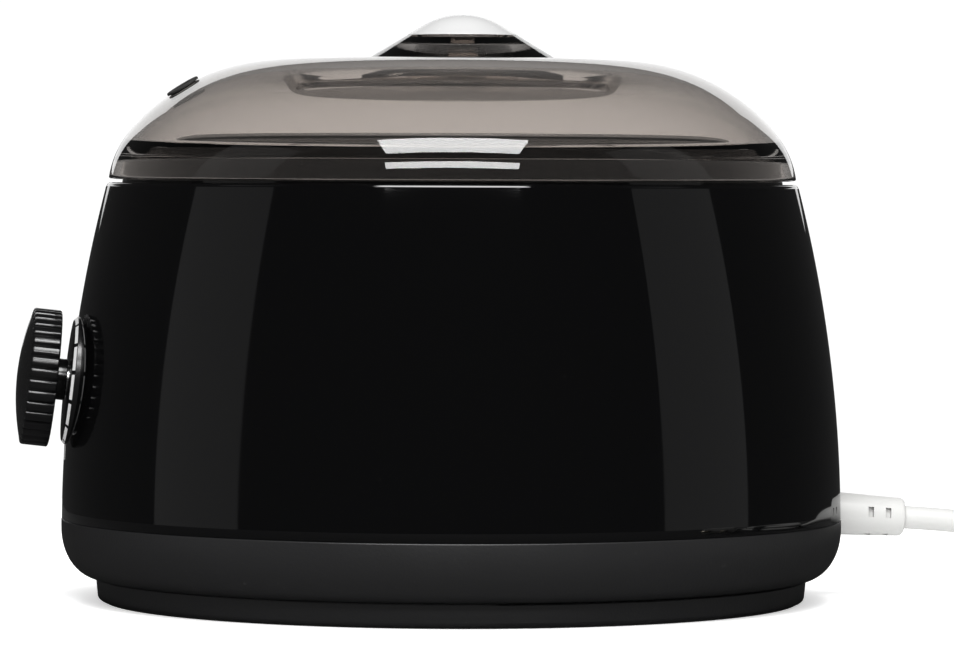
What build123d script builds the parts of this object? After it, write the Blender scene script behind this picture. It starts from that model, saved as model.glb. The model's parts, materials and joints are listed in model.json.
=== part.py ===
from build123d import *

import os
from math import asin, atan2, cos, degrees, pi, radians, sin, sqrt, tan

# Tabletop wax warmer: a round two-part casing with a heated well, a lift-out pot with a wire bail,
# a clear lid, a rotary thermostat and a mains lead. Millimetres, +Z up, rest face at z = 0.
# The body's axis is the Z axis, the control knob faces -X and the lead leaves towards +X.

# Clearances
running_gap = 0.08  # radial, spindle in its bush
fit_gap = 0.1  # radial, between pieces of one body that nest
moving_gap = 0.3  # between faces on different bodies
fastener_gap = 0.2  # radial, screw in its through hole

# Casing: the side is one convex arc in section
base_top = 17.5  # seam between upper casing and base ring
shell_top = 88.2
shell_bottom_radius = 82.4
shell_top_radius = 73.0
shell_bulge = 2.2  # rise of the side's arc over its chord
shell_wall = 2.4
deck_thickness = 2.2
shell_edge_round = 0.8
seam_round = 0.3

# Base ring and bottom cover
base_radius = shell_bottom_radius + 0.1
base_straight_bottom = 15.5  # below this the side rounds under as a quarter ellipse
foot_radius = base_radius - 7.3
base_bottom = 5.2
base_wall = 3.0
base_flange_inner = foot_radius - 15.2
flange_thickness = 2.2
lip_height = 3.0
lip_thickness = 1.4
cover_plate = 2.3
foot_lift = 0.3  # the rubber stands proud of the foot wall by this
foot_taper = 0.5
foot_edge_round = 1.0
foot_wall_inner = foot_radius - 4.8
rubber_inner = foot_radius - 4.0
rubber_outer = foot_radius - 1.8
rubber_height = 1.8
vent_count = 18
vent_circle = 38.0
vent_length = 18.0
vent_width = 3.0

# Screws and posts
post_circle = 67.4
post_radius = 3.6
post_angle = 45.0
screw_radius = 1.5
pilot_radius = 1.25
head_radius = 2.7
head_height = 1.8
base_screw_length = 14.0
ring_screw_circle = 60.8
ring_screw_length = 7.0

# Shoulder ring on the deck
ring_foot_radius = 69.8
ring_draft = 0.5
seat_height = 93.0  # flat land that the lid rests on
seat_inner = 68.0
seat_chamfer = 0.3
ring_top = 97.0
ring_crown_radius = 58.5
ring_opening = 56.7
ring_wall = 2.0
ring_bulge_radius = 64.9
ring_bulge_height = 95.5

# Pot
pot_inner_radius = 52.0
pot_wall = 1.2
pot_floor = 1.5
pot_recess_radius = 55.2  # the top of the pot widens into a step for the folded bail
pot_ledge = 92.4
pot_top = 98.1
pot_lip_radius = 58.6
pot_lip = 0.8
pot_bottom = 36.3
pot_corner = 5.0

# Heating well
well_gap = 0.8
well_wall = 1.5
well_flange_radius = 63.4
well_flange = 1.5
well_corner = 4.0
band_bottom = 40.0
band_height = 26.0
band_thickness = 2.0
band_split = 7.0
strap_height = 7.0
strap_thickness = 0.7
strap_ear = 9.0

# Bail
bail_wire_radius = 1.2
bail_bend = 1.8
lug_width = 8.0
lug_depth = 3.2
lug_height = 9.0

# Lid: the dome is three arcs, each tangent to the last, from the dish rim down to the bottom edge
lid_bottom = 89.1
lid_bottom_radius = 72.65
lid_hip_radius = 68.4
lid_hip_height = 98.8
lid_crown_radius = 54.6
lid_crown_height = 109.85
lid_top = 114.2
lid_rim_radius = 36.2
lid_wall = 2.0
lid_seat_inner = 68.5
lid_seat_rib = 2.0
dish_radius = 35.2
dish_floor_radius = 32.6
dish_floor = 109.9
dish_plate = 1.4
dish_corner = 2.4
spigot_radius = 3.3
spigot_height = 7.0
vent_radius = 2.9
vent_along = 0.2  # how far down the middle arc the steam vent sits, as a share of it
vent_azimuth = 5.0  # degrees round from the knob's side
grommet_radius = 3.7
grommet_bore = 2.2
grommet_flange = 0.6
grommet_inner_gap = 0.3

# Lid handle
handle_offset = 2.0  # the handle stands this far off the lid's axis, towards the lead
handle_stem_radius = 11.8
handle_cap_radius = 21.6
handle_top = 124.0
handle_slope = 31.0
handle_apex_radius = 16.0
handle_cap_wall = 2.2
handle_rim_round = 0.7
handle_insert_radius = 11.6
handle_insert_seat = 118.2
handle_insert_round = 0.3

# Dial, thermostat and knob, along an axis square to the casing's side
dial_height = 46.6
dial_radius = 13.5
dial_proud = 0.65
dial_recess = 1.3
dial_chamfer = 0.8
dial_boss_radius = 16.0
dial_boss_depth = 5.0
knob_radius = 14.4
knob_rim_depth = 5.7
knob_dome = 2.2
knob_lift = 2.7  # dial face to the back of the knob
knob_hub_radius = 4.35
knob_hollow_radius = 11.6
knob_hollow_depth = 3.4
knob_groove_count = 36
knob_groove_radius = 0.62
knob_bore_depth = 5.0
pointer_length = 7.0
pointer_width = 1.2
pointer_depth = 0.5
spindle_radius = 3.0
spindle_tail = 4.0
bush_radius = 4.2
bush_length = 4.0
thermostat_width = 26.0
thermostat_height = 22.0
thermostat_depth = 9.5
thermostat_plate_thickness = 1.2
thermostat_screw_spacing = 18.0
thermostat_screw_length = 8.0
countersink_radius = 2.6

# Mains lead
cord_radius = 2.5
cord_exit_height = 18.0
cord_droop = 3.5  # degrees below level at the exit
relief_length = 15.2
relief_start_radius = 4.6
relief_end_radius = 4.05
relief_end_round = 1.2
relief_neck_radius = 4.4
relief_hole_gap = 0.3
relief_flange_radius = 6.4
relief_flange = 2.0
relief_slot_rows = (7.4, 11.2)
relief_slot_turn = -13.0
relief_slot_width = 1.2
relief_slot_span = 2.2
relief_slot_depth = 1.0
inner_cord_length = 24.0
clamp_width = 9.0
clamp_span = 22.0
clamp_height = 4.0
clamp_grip = 0.6  # gap between saddle and clamp when tight
clamp_round = 0.4
clamp_screw_spacing = 15.0
clamp_screw_length = 9.0
clamp_inset = 14.4  # from the casing's side to the middle of the clamp

# The lead's free route: down from the exit to the coil, and from the coil to the plug
coil_centre = (168.0, -35.5)
coil_mean_radius = 28.0
coil_columns = 3
coil_layers = 2
tie_length = 8.0
tie_thickness = 0.8
tie_angle = 215.0
lead_route = [
    (112.0, 0.0, 16.2),
    (126.0, -0.4, 13.4),
    (140.0, -1.2, 8.6),
    (154.0, -2.2, 4.6),
    (168.0, -2.5, 3.3),
]
tail_route = [
    (201.0, -35.5, 8.3),
    (201.0, -50.5, 7.2),
    (197.9, -63.1, 5.0),
    (191.0, -74.1, 4.2),
    (180.7, -82.1, 5.4),
    (169.3, -85.8, 7.5),
    (157.3, -85.8, 7.5),
]
plug_sleeve_length = 12.0
plug_sleeve_radius = 3.9
plug_length = 25.0
plug_width = 25.0
plug_thickness = 15.0
plug_taper = 9.0
plug_round = 2.0
blade_length = 16.0
blade_width = 6.3
blade_thickness = 1.5
blade_spacing = 12.7

# Parts under the well, and the wiring
block_length = 20.0
block_width = 16.0
block_height = 11.0
block_centre = (38.0, 0.0)
pole_spacing = 8.0
pole_run = 8.0
terminal_screw_radius = 1.6
fuse_radius = 2.4
fuse_length = 30.0
fuse_side = 20.0
fuse_boss_radius = 3.0
fuse_boss_side = 11.0
fuse_clip_width = 8.0
fuse_clip = 1.0
wire_radius = 1.0
wire_bend = 2.5
wire_gap = 0.3


def casing_arc():
    """Centre and radius of the casing side's arc, as r, z and radius."""
    run_r, run_z = shell_bottom_radius - shell_top_radius, shell_top - base_top
    chord = sqrt(run_r**2 + run_z**2)
    radius = (chord**2 / 4 + shell_bulge**2) / (2 * shell_bulge)
    reach = radius - shell_bulge
    middle_r = (shell_bottom_radius + shell_top_radius) / 2
    middle_z = (shell_top + base_top) / 2
    return middle_r - reach * run_z / chord, middle_z - reach * run_r / chord, radius


arc_r, arc_z, arc_radius = casing_arc()


def casing_radius(height, inset=0.0):
    """Radius of the casing's side at a height, or of a surface that far inside it."""
    return arc_r + sqrt((arc_radius - inset) ** 2 - (height - arc_z) ** 2)


def side_arc(low, high, inset=0.0):
    """The casing side's arc in section between two heights."""
    heights = (low, (low + high) / 2, high)
    return ThreePointArc(*[(casing_radius(z, inset), z) for z in heights])


LID_POINTS = [
    (lid_rim_radius, lid_top),
    (lid_crown_radius, lid_crown_height),
    (lid_hip_radius, lid_hip_height),
    (lid_bottom_radius, lid_bottom),
]


def lid_falls():
    """How steeply the lid's profile falls at each of its points, in radians: level at the rim."""
    falls = [0.0]
    for (before_r, before_z), (r, z) in zip(LID_POINTS, LID_POINTS[1:]):
        falls.append(2 * atan2(before_z - z, r - before_r) - falls[-1])
    return falls


def lid_arcs(inset):
    """The lid's tangent arcs from the rim down, moved inwards square to the profile."""
    falls = lid_falls()
    points = [(r - inset * sin(f), z - inset * cos(f)) for (r, z), f in zip(LID_POINTS, falls)]
    return [
        TangentArc(start, end, tangent=(cos(fall), -sin(fall)))
        for start, end, fall in zip(points, points[1:], falls)
    ]


def screw(length, head=head_radius, thick=head_height, radius=screw_radius):
    """A pan-head screw, head below z = 0 and shank up to z = length."""
    with BuildPart() as made:
        with BuildSketch():
            Circle(radius)
        extrude(amount=length)
        with BuildSketch():
            Circle(head)
        extrude(amount=-thick)
        fillet(made.faces().sort_by(Axis.Z)[0].edges(), thick * 0.45)
        with BuildSketch(Plane.XY.offset(-thick)):
            Rectangle(head * 1.3, head * 0.26)
            Rectangle(head * 0.26, head * 1.3)
        extrude(amount=thick * 0.5, mode=Mode.SUBTRACT)
    return made.part


def route_radii(points):
    """The largest tangent radius for each corner of a cord's route."""
    radii = []
    for a, b, c in zip(points, points[1:], points[2:]):
        back, on = Vector(*b) - Vector(*a), Vector(*c) - Vector(*b)
        half = radians(back.get_angle(on)) / 2
        radii.append(0.45 * min(back.length, on.length) / tan(half))
    return radii


os.makedirs("parts", exist_ok=True)


def keep(builder, name):
    """Labels a finished piece and writes it."""
    builder.part.label = name
    export_step(builder.part, f"parts/{name}.step")


# Frames of the tilted parts
dial_tilt = asin((dial_height - arc_z) / arc_radius)
dial_face = Plane(
    origin=(-casing_radius(dial_height), 0, dial_height),
    x_dir=(0, -1, 0),
    z_dir=(-cos(dial_tilt), 0, sin(dial_tilt)),
)
droop = radians(cord_droop)
exit_frame = Plane(
    origin=(shell_bottom_radius, 0, cord_exit_height),
    x_dir=(0, 1, 0),
    z_dir=(cos(droop), 0, -sin(droop)),
)
deck_bottom = shell_top - deck_thickness
ring_skirt_outer = ring_opening + ring_wall
flange_top = base_bottom + flange_thickness
post_spots = PolarLocations(post_circle, 4, start_angle=post_angle)
ring_spots = PolarLocations(ring_screw_circle, 4)
screw_pair = Locations((thermostat_screw_spacing / 2, 0), (-thermostat_screw_spacing / 2, 0))
screw_hole = screw_radius + fastener_gap
bush_hole = bush_radius + fit_gap
relief_hole = relief_neck_radius + relief_hole_gap

# Upper casing
with BuildPart() as outer_shell:
    with BuildSketch(Plane.XZ):
        with BuildLine():
            outside = side_arc(base_top, shell_top)
            inside = side_arc(base_top, deck_bottom, shell_wall)
            Polyline(
                outside @ 1,
                (ring_skirt_outer + moving_gap, shell_top),
                (ring_skirt_outer + moving_gap, deck_bottom),
                inside @ 1,
            )
            Line(inside @ 0, outside @ 0)
        make_face()
    revolve(axis=Axis.Z)
    rims = outer_shell.edges().filter_by(GeomType.CIRCLE)
    top_rim = rims.group_by(Axis.Z)[-1].sort_by(SortBy.RADIUS)[-1]
    bottom_rim = rims.group_by(Axis.Z)[0].sort_by(SortBy.RADIUS)[-1]
    fillet(top_rim, shell_edge_round)
    fillet(bottom_rim, seam_round)
    with BuildSketch(Plane.XY.offset(flange_top)):
        with post_spots:
            Circle(post_radius)
    extrude(amount=deck_bottom - flange_top)
    with BuildSketch(dial_face):
        Circle(dial_boss_radius)
    extrude(amount=-dial_boss_depth)
    with BuildSketch(Plane.XZ):
        with BuildLine():
            cut_low, cut_high = dial_height - 2 * dial_radius, dial_height + 2 * dial_radius
            skin = side_arc(cut_low, cut_high)
            far_radius = 2 * shell_bottom_radius
            Polyline(skin @ 1, (far_radius, cut_high), (far_radius, cut_low), skin @ 0)
        make_face()
    revolve(axis=Axis.Z, mode=Mode.SUBTRACT)
    with BuildSketch(dial_face.offset(-dial_recess)):
        Circle(dial_radius + fit_gap)
    extrude(amount=3 * dial_recess, mode=Mode.SUBTRACT)
    with BuildSketch(dial_face):
        Circle(bush_hole)
        with screw_pair:
            Circle(screw_hole)
    extrude(amount=-2 * dial_boss_depth, mode=Mode.SUBTRACT)
    with BuildSketch(Plane.XY.offset(deck_bottom)):
        with ring_spots:
            Circle(screw_hole)
    extrude(amount=deck_thickness, mode=Mode.SUBTRACT)
    with BuildSketch(Plane.XY.offset(flange_top)):
        with post_spots:
            Circle(pilot_radius)
    extrude(amount=base_screw_length, mode=Mode.SUBTRACT)
    with BuildSketch(exit_frame.offset(-3 * shell_wall)):
        Circle(relief_hole)
    extrude(amount=6 * shell_wall, mode=Mode.SUBTRACT)
keep(outer_shell, "outer_shell")

# Base ring: rounded side, inward flange, lip inside the casing and the lead's saddle
clamp_middle = shell_bottom_radius - clamp_inset
cord_at_clamp = cord_exit_height + clamp_inset * tan(droop)
clamp_holes = Locations(
    (clamp_middle, clamp_screw_spacing / 2), (clamp_middle, -clamp_screw_spacing / 2)
)
with BuildPart() as base_ring:
    inner_radius = base_radius - base_wall
    lip_outer = casing_radius(base_top, shell_wall) - fit_gap
    lip_inner = lip_outer - lip_thickness
    with BuildSketch(Plane.XZ):
        with BuildLine():
            EllipticalCenterArc(
                (foot_radius, base_straight_bottom),
                base_radius - foot_radius,
                base_straight_bottom - base_bottom,
                start_angle=270,
                arc_size=90,
            )
            Polyline(
                (base_radius, base_straight_bottom),
                (base_radius, base_top),
                (lip_outer, base_top),
                (lip_outer, base_top + lip_height),
                (lip_inner, base_top + lip_height),
                (lip_inner, base_straight_bottom),
                (inner_radius, base_straight_bottom - base_wall),
                (inner_radius, flange_top + base_wall),
                (inner_radius - base_wall, flange_top),
                (base_flange_inner, flange_top),
                (base_flange_inner, base_bottom),
                (foot_radius, base_bottom),
            )
        make_face()
    revolve(axis=Axis.Z)
    rims = base_ring.edges().filter_by(GeomType.CIRCLE)
    seam_rims = rims.filter_by_position(Axis.Z, base_top - seam_round, base_top + seam_round)
    fillet(seam_rims.sort_by(SortBy.RADIUS)[-1], seam_round)
    with BuildSketch(Plane.XY.offset(base_bottom)):
        with Locations((clamp_middle, 0)):
            Rectangle(clamp_width, clamp_span)
    extrude(amount=cord_at_clamp - clamp_grip / 2 - base_bottom)
    with BuildSketch(exit_frame.offset(-inner_cord_length)):
        Circle(cord_radius)
    extrude(amount=inner_cord_length, mode=Mode.SUBTRACT)
    with BuildSketch(exit_frame.offset(-3 * shell_wall)):
        Circle(relief_hole)
    extrude(amount=6 * shell_wall, mode=Mode.SUBTRACT)
    with BuildSketch(Plane.XY.offset(base_bottom)):
        with post_spots:
            Circle(screw_hole)
    extrude(amount=flange_thickness, mode=Mode.SUBTRACT)
    with BuildSketch(Plane.XY.offset(cord_at_clamp - clamp_grip / 2)):
        with clamp_holes:
            Circle(pilot_radius)
    extrude(amount=-clamp_screw_length, mode=Mode.SUBTRACT)
keep(base_ring, "base_ring")

# Bottom cover: plate with vents, foot wall with the groove for the rubber ring
plate_bottom = base_bottom - cover_plate
with BuildPart() as bottom_cover:
    with BuildSketch(Plane.XZ):
        with BuildLine():
            Polyline(
                (0, base_bottom),
                (foot_radius, base_bottom),
                (foot_radius - foot_taper, foot_lift),
                (foot_wall_inner, foot_lift),
                (foot_wall_inner, plate_bottom),
                (0, plate_bottom),
                close=True,
            )
        make_face()
    revolve(axis=Axis.Z)
    rims = bottom_cover.edges().filter_by(GeomType.CIRCLE)
    foot_rim = rims.group_by(Axis.Z)[0].sort_by(SortBy.RADIUS)[-1]
    top_rim = rims.group_by(Axis.Z)[-1].sort_by(SortBy.RADIUS)[-1]
    fillet(foot_rim, foot_edge_round)
    fillet(top_rim, 1.5 * seam_round)
    with BuildSketch(Plane.XY.offset(foot_lift)):
        Circle(rubber_outer + fit_gap)
        Circle(rubber_inner - fit_gap, mode=Mode.SUBTRACT)
    extrude(amount=rubber_height - foot_lift, mode=Mode.SUBTRACT)
    with BuildSketch(Plane.XY.offset(plate_bottom)):
        with post_spots:
            Circle(screw_hole)
        with PolarLocations(vent_circle, vent_count):
            SlotOverall(vent_length, vent_width)
    extrude(amount=cover_plate, mode=Mode.SUBTRACT)
keep(bottom_cover, "bottom_cover")

with BuildPart() as rubber_foot:
    with BuildSketch():
        Circle(rubber_outer)
        Circle(rubber_inner, mode=Mode.SUBTRACT)
    extrude(amount=rubber_height)
keep(rubber_foot, "rubber_foot")

with BuildPart() as base_screws:
    with Locations(Location((0, 0, plate_bottom))):
        with PolarLocations(post_circle, 4, start_angle=post_angle):
            add(screw(base_screw_length))
keep(base_screws, "base_screws")

# Shoulder ring: stands on the deck, carries the lid on its land and guides the pot
with BuildPart() as top_ring:
    with BuildSketch(Plane.XZ):
        with BuildLine():
            crown = ThreePointArc(
                (seat_inner, seat_height),
                (ring_bulge_radius, ring_bulge_height),
                (ring_crown_radius, ring_top),
            )
            under = ThreePointArc(
                (seat_inner - ring_wall, seat_height - ring_wall),
                (ring_bulge_radius - ring_wall / 2, ring_bulge_height - ring_wall),
                (ring_skirt_outer, ring_top - ring_wall),
            )
            Polyline(
                crown @ 0,
                (ring_foot_radius - ring_draft - seat_chamfer, seat_height),
                (ring_foot_radius - ring_draft, seat_height - seat_chamfer),
                (ring_foot_radius, shell_top),
                (ring_foot_radius - ring_wall, shell_top),
                under @ 0,
            )
            Polyline(
                under @ 1,
                (ring_skirt_outer, deck_bottom + moving_gap),
                (ring_opening, deck_bottom + moving_gap),
                (ring_opening, ring_top - seat_chamfer),
                (ring_opening + seat_chamfer, ring_top),
                crown @ 1,
            )
        make_face()
    revolve(axis=Axis.Z)
    with BuildSketch(Plane.XY.offset(shell_top)):
        with ring_spots:
            Circle(2 * pilot_radius)
    extrude(until=Until.NEXT)
    with BuildSketch(Plane.XY.offset(shell_top)):
        with ring_spots:
            Circle(pilot_radius)
    extrude(amount=ring_screw_length - deck_thickness - well_flange, mode=Mode.SUBTRACT)
keep(top_ring, "top_ring")

# Heating well: hangs by its flange from the deck
well_radius = pot_inner_radius + pot_wall + well_gap
well_outer = well_radius + well_wall
with BuildPart() as heating_well:
    with BuildSketch(Plane.XZ):
        with BuildLine():
            cup = FilletPolyline(
                (0, pot_bottom - well_wall),
                (well_outer, pot_bottom - well_wall),
                (well_outer, deck_bottom - well_flange),
                (well_flange_radius, deck_bottom - well_flange),
                (well_flange_radius, deck_bottom),
                (well_radius, deck_bottom),
                (well_radius, pot_bottom),
                (0, pot_bottom),
                radius=(well_corner, 0, 0, 0, 0, well_corner - well_wall),
            )
            Line(cup @ 1, cup @ 0)
        make_face()
    revolve(axis=Axis.Z)
    with BuildSketch(Plane.XY.offset(deck_bottom - well_flange)):
        with ring_spots:
            Circle(screw_hole)
    extrude(amount=well_flange, mode=Mode.SUBTRACT)
    with BuildSketch(Plane.XY.offset(pot_bottom - well_wall)):
        with Locations((0, -fuse_boss_side)):
            Circle(fuse_boss_radius)
    extrude(amount=-2 * fuse_radius)
    with BuildSketch(Plane.XY.offset(pot_bottom - well_wall - 2 * fuse_radius)):
        with Locations((0, -fuse_boss_side)):
            Circle(pilot_radius)
    extrude(amount=1.6 * fuse_radius, mode=Mode.SUBTRACT)
keep(heating_well, "heating_well")

with BuildPart() as top_ring_screws:
    with Locations(Location((0, 0, deck_bottom - well_flange))):
        with PolarLocations(ring_screw_circle, 4):
            add(screw(ring_screw_length))
keep(top_ring_screws, "top_ring_screws")

# Band heater: a split ring round the well, held by a strap with two ears and a cross screw
band_inner = well_outer + fit_gap
band_outer = band_inner + band_thickness
with BuildPart() as heater_band:
    with BuildSketch(Plane.XY.offset(band_bottom)):
        Circle(band_outer)
        Circle(band_inner, mode=Mode.SUBTRACT)
        with Locations((0, band_outer)):
            Rectangle(band_split, 3 * band_thickness, mode=Mode.SUBTRACT)
    extrude(amount=band_height)
keep(heater_band, "heater_band")

strap_inner = band_outer + fit_gap
strap_bottom = band_bottom + (band_height - strap_height) / 2
strap_middle = strap_bottom + strap_height / 2
ear_spots = Locations(
    (band_split / 2, strap_inner + strap_ear / 2), (-band_split / 2, strap_inner + strap_ear / 2)
)
ear_screw_y = strap_inner + strap_ear * 0.6
with BuildPart() as heater_clamp:
    with BuildSketch(Plane.XY.offset(strap_bottom)):
        Circle(strap_inner + strap_thickness)
        Circle(strap_inner, mode=Mode.SUBTRACT)
        with Locations((0, strap_inner)):
            Rectangle(band_split, 3 * band_thickness, mode=Mode.SUBTRACT)
        with ear_spots:
            Rectangle(strap_thickness, strap_ear)
    extrude(amount=strap_height)
    with BuildSketch(Plane.YZ.offset(-band_split)):
        with Locations((ear_screw_y, strap_middle)):
            Circle(screw_hole)
    extrude(amount=2 * band_split, mode=Mode.SUBTRACT)
keep(heater_clamp, "heater_clamp")

ear_face = (band_split + strap_thickness) / 2
with BuildPart() as clamp_screw:
    with Locations(Location((-ear_face, ear_screw_y, strap_middle), (0, 90, 0))):
        add(screw(2 * ear_face + head_height))
    with BuildSketch(Plane.YZ.offset(ear_face)):
        with Locations((ear_screw_y, strap_middle)):
            RegularPolygon(head_radius, 6)
    extrude(amount=head_height)
keep(clamp_screw, "clamp_screw")

# Thermal fuse under the well, held by a strip and one screw
well_under = pot_bottom - well_wall
fuse_axis_height = well_under - fuse_radius - fit_gap / 2
clip_top = well_under - 2 * fuse_radius
with BuildPart() as thermal_fuse:
    with BuildSketch(Plane.YZ.offset(-fuse_length / 2)):
        with Locations((-fuse_side, fuse_axis_height)):
            Circle(fuse_radius - fit_gap / 2)
    extrude(amount=fuse_length)
    fillet(thermal_fuse.edges().filter_by(GeomType.CIRCLE), fuse_radius * 0.3)
keep(thermal_fuse, "thermal_fuse")

with BuildPart() as fuse_clip_strip:
    clip_near = -fuse_boss_side + fuse_boss_radius
    clip_far = -fuse_side - 2 * fuse_radius
    with BuildSketch(Plane.XY.offset(clip_top)):
        with Locations((0, (clip_near + clip_far) / 2)):
            RectangleRounded(fuse_clip_width, clip_near - clip_far, fuse_clip)
        with Locations((0, -fuse_boss_side)):
            Circle(screw_hole, mode=Mode.SUBTRACT)
    extrude(amount=-fuse_clip)
keep(fuse_clip_strip, "fuse_clip")

with BuildPart() as fuse_screw:
    with Locations(Location((0, -fuse_boss_side, clip_top - fuse_clip))):
        add(screw(fuse_clip + 1.5 * fuse_radius))
keep(fuse_screw, "fuse_screw")

# Dial plate: sits in the round recess of the casing, chamfered for the printed scale
with BuildPart() as dial_plate:
    with BuildSketch(dial_face.offset(-dial_recess)):
        Circle(dial_radius)
    extrude(amount=dial_recess + dial_proud)
    front = dial_plate.faces().sort_by(Axis(dial_face.origin, dial_face.z_dir))[-1]
    chamfer(front.edges(), dial_chamfer)
    with BuildSketch(dial_face.offset(dial_proud)):
        Circle(spindle_radius + moving_gap)
    extrude(amount=-2 * dial_recess, mode=Mode.SUBTRACT)
    with Locations(dial_face.offset(dial_proud)):
        with Locations((thermostat_screw_spacing / 2, 0), (-thermostat_screw_spacing / 2, 0)):
            CounterSinkHole(screw_hole, countersink_radius)
keep(dial_plate, "dial_plate")

# Thermostat: plate with a bush through the casing, block behind it
plate_front = dial_face.offset(-dial_boss_depth)
plate_back = plate_front.offset(-thermostat_plate_thickness)
with BuildPart() as thermostat_plate:
    with BuildSketch(plate_back):
        RectangleRounded(thermostat_width, thermostat_height * 0.7, dial_chamfer)
    extrude(amount=thermostat_plate_thickness)
    with BuildSketch(plate_back):
        Circle(bush_radius)
    extrude(amount=thermostat_plate_thickness + dial_boss_depth - dial_recess)
    with BuildSketch(plate_back):
        Circle(spindle_radius + running_gap)
        with screw_pair:
            Circle(screw_radius)
    extrude(amount=2 * dial_boss_depth, mode=Mode.SUBTRACT)
keep(thermostat_plate, "thermostat_plate")

with BuildPart() as thermostat_body:
    with BuildSketch(plate_back):
        RectangleRounded(thermostat_width, thermostat_height, dial_chamfer)
    extrude(amount=-thermostat_depth)
    with BuildSketch(plate_back):
        Circle(spindle_radius + running_gap)
        with screw_pair:
            Circle(screw_radius + fit_gap)
    extrude(amount=-(spindle_tail + moving_gap), mode=Mode.SUBTRACT)
keep(thermostat_body, "thermostat_body")

with BuildPart() as thermostat_screws:
    head_depth = countersink_radius - screw_radius
    screw_front = dial_face.offset(dial_proud - fit_gap)
    with BuildSketch(screw_front):
        with screw_pair:
            Circle(screw_radius)
    extrude(amount=-thermostat_screw_length)
    with BuildSketch(screw_front):
        with screw_pair:
            Circle(countersink_radius - fit_gap)
    extrude(amount=-head_depth, taper=45)
keep(thermostat_screws, "thermostat_screws")

# Knob and spindle, turning together
knob_back = dial_face.offset(dial_proud + knob_lift)
with BuildPart() as control_knob:
    with BuildSketch(knob_back):
        Circle(knob_radius)
        with PolarLocations(knob_radius + knob_groove_radius * 0.35, knob_groove_count):
            Circle(knob_groove_radius, mode=Mode.SUBTRACT)
    extrude(amount=knob_rim_depth)
    dome_radius = (knob_radius**2 + knob_dome**2) / (2 * knob_dome)
    rim_front = knob_back.offset(knob_rim_depth)
    with BuildSketch(Plane(origin=rim_front.origin, x_dir=knob_back.x_dir, z_dir=knob_back.y_dir)):
        with BuildLine():
            slope = knob_radius - 2 * knob_groove_radius
            drop = dome_radius - sqrt(dome_radius**2 - slope**2)
            edge_height = knob_dome - drop
            crown_arc = ThreePointArc(
                (0, -knob_dome),
                (slope / 2, -(knob_dome - dome_radius + sqrt(dome_radius**2 - slope**2 / 4))),
                (slope, -edge_height),
            )
            Polyline(crown_arc @ 1, (slope + edge_height, 0), (0, 0), crown_arc @ 0)
        make_face()
    revolve(axis=Axis(dial_face.origin, dial_face.z_dir))
    with BuildSketch(knob_back):
        Circle(knob_hollow_radius)
    extrude(amount=knob_hollow_depth, mode=Mode.SUBTRACT)
    with BuildSketch(knob_back.offset(moving_gap - knob_lift)):
        Circle(knob_hub_radius)
    extrude(amount=knob_lift - moving_gap + knob_hollow_depth)
    with BuildSketch(knob_back.offset(moving_gap - knob_lift)):
        Circle(spindle_radius + fit_gap / 2)
    extrude(amount=knob_lift - moving_gap + knob_bore_depth, mode=Mode.SUBTRACT)
    with BuildSketch(knob_back.offset(knob_rim_depth + knob_dome)):
        with Locations((0, knob_radius - pointer_length / 2 - 3 * knob_groove_radius)):
            SlotOverall(pointer_length, pointer_width, rotation=90)
    extrude(amount=-(pointer_depth + knob_dome * 0.75), mode=Mode.SUBTRACT)
keep(control_knob, "control_knob")

with BuildPart() as thermostat_spindle:
    with BuildSketch(plate_back.offset(-spindle_tail)):
        Circle(spindle_radius)
    behind_dial = spindle_tail + thermostat_plate_thickness + dial_boss_depth
    before_dial = dial_proud + knob_lift + knob_bore_depth
    extrude(amount=behind_dial + before_dial - fit_gap)
keep(thermostat_spindle, "thermostat_spindle")

# Lift-out pot: plain cup below, wider step at the top where the folded bail lies
recess_outer = pot_recess_radius + pot_wall
with BuildPart() as inner_pot:
    with BuildSketch(Plane.XZ):
        with BuildLine():
            cup = FilletPolyline(
                (0, pot_bottom),
                (pot_inner_radius + pot_wall, pot_bottom),
                (pot_inner_radius + pot_wall, pot_ledge - pot_wall),
                (recess_outer, pot_ledge - pot_wall),
                (recess_outer, pot_top - pot_lip),
                (pot_lip_radius, pot_top - pot_lip),
                (pot_lip_radius, pot_top),
                (pot_recess_radius, pot_top),
                (pot_recess_radius, pot_ledge),
                (pot_inner_radius, pot_ledge),
                (pot_inner_radius, pot_bottom + pot_floor),
                (0, pot_bottom + pot_floor),
                radius=(
                    pot_corner,
                    0,
                    pot_wall / 2,
                    0,
                    pot_lip * 0.4,
                    pot_lip * 0.4,
                    pot_lip * 0.6,
                    0,
                    pot_wall / 2,
                    pot_corner - pot_wall,
                ),
            )
            Line(cup @ 1, cup @ 0)
        make_face()
    revolve(axis=Axis.Z)
keep(inner_pot, "inner_pot")

# Two lugs welded to the pot's wall take the bail's turned-in ends
bail_height = pot_ledge + moving_gap + bail_wire_radius
with BuildPart() as pot_lugs:
    with BuildSketch(Plane.XY.offset(bail_height + bail_wire_radius + pot_wall - lug_height)):
        Circle(pot_inner_radius)
        with Locations((0, 0)):
            Rectangle(3 * pot_inner_radius, 2 * (pot_inner_radius - lug_depth), mode=Mode.SUBTRACT)
        Rectangle(lug_width, 3 * pot_inner_radius, mode=Mode.INTERSECT)
    extrude(amount=lug_height)
    with BuildSketch(Plane.XZ.offset(-2 * pot_inner_radius)):
        with Locations((0, bail_height)):
            Circle(bail_wire_radius + moving_gap / 3)
    extrude(amount=4 * pot_inner_radius, mode=Mode.SUBTRACT)
keep(pot_lugs, "pot_lugs")

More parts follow.
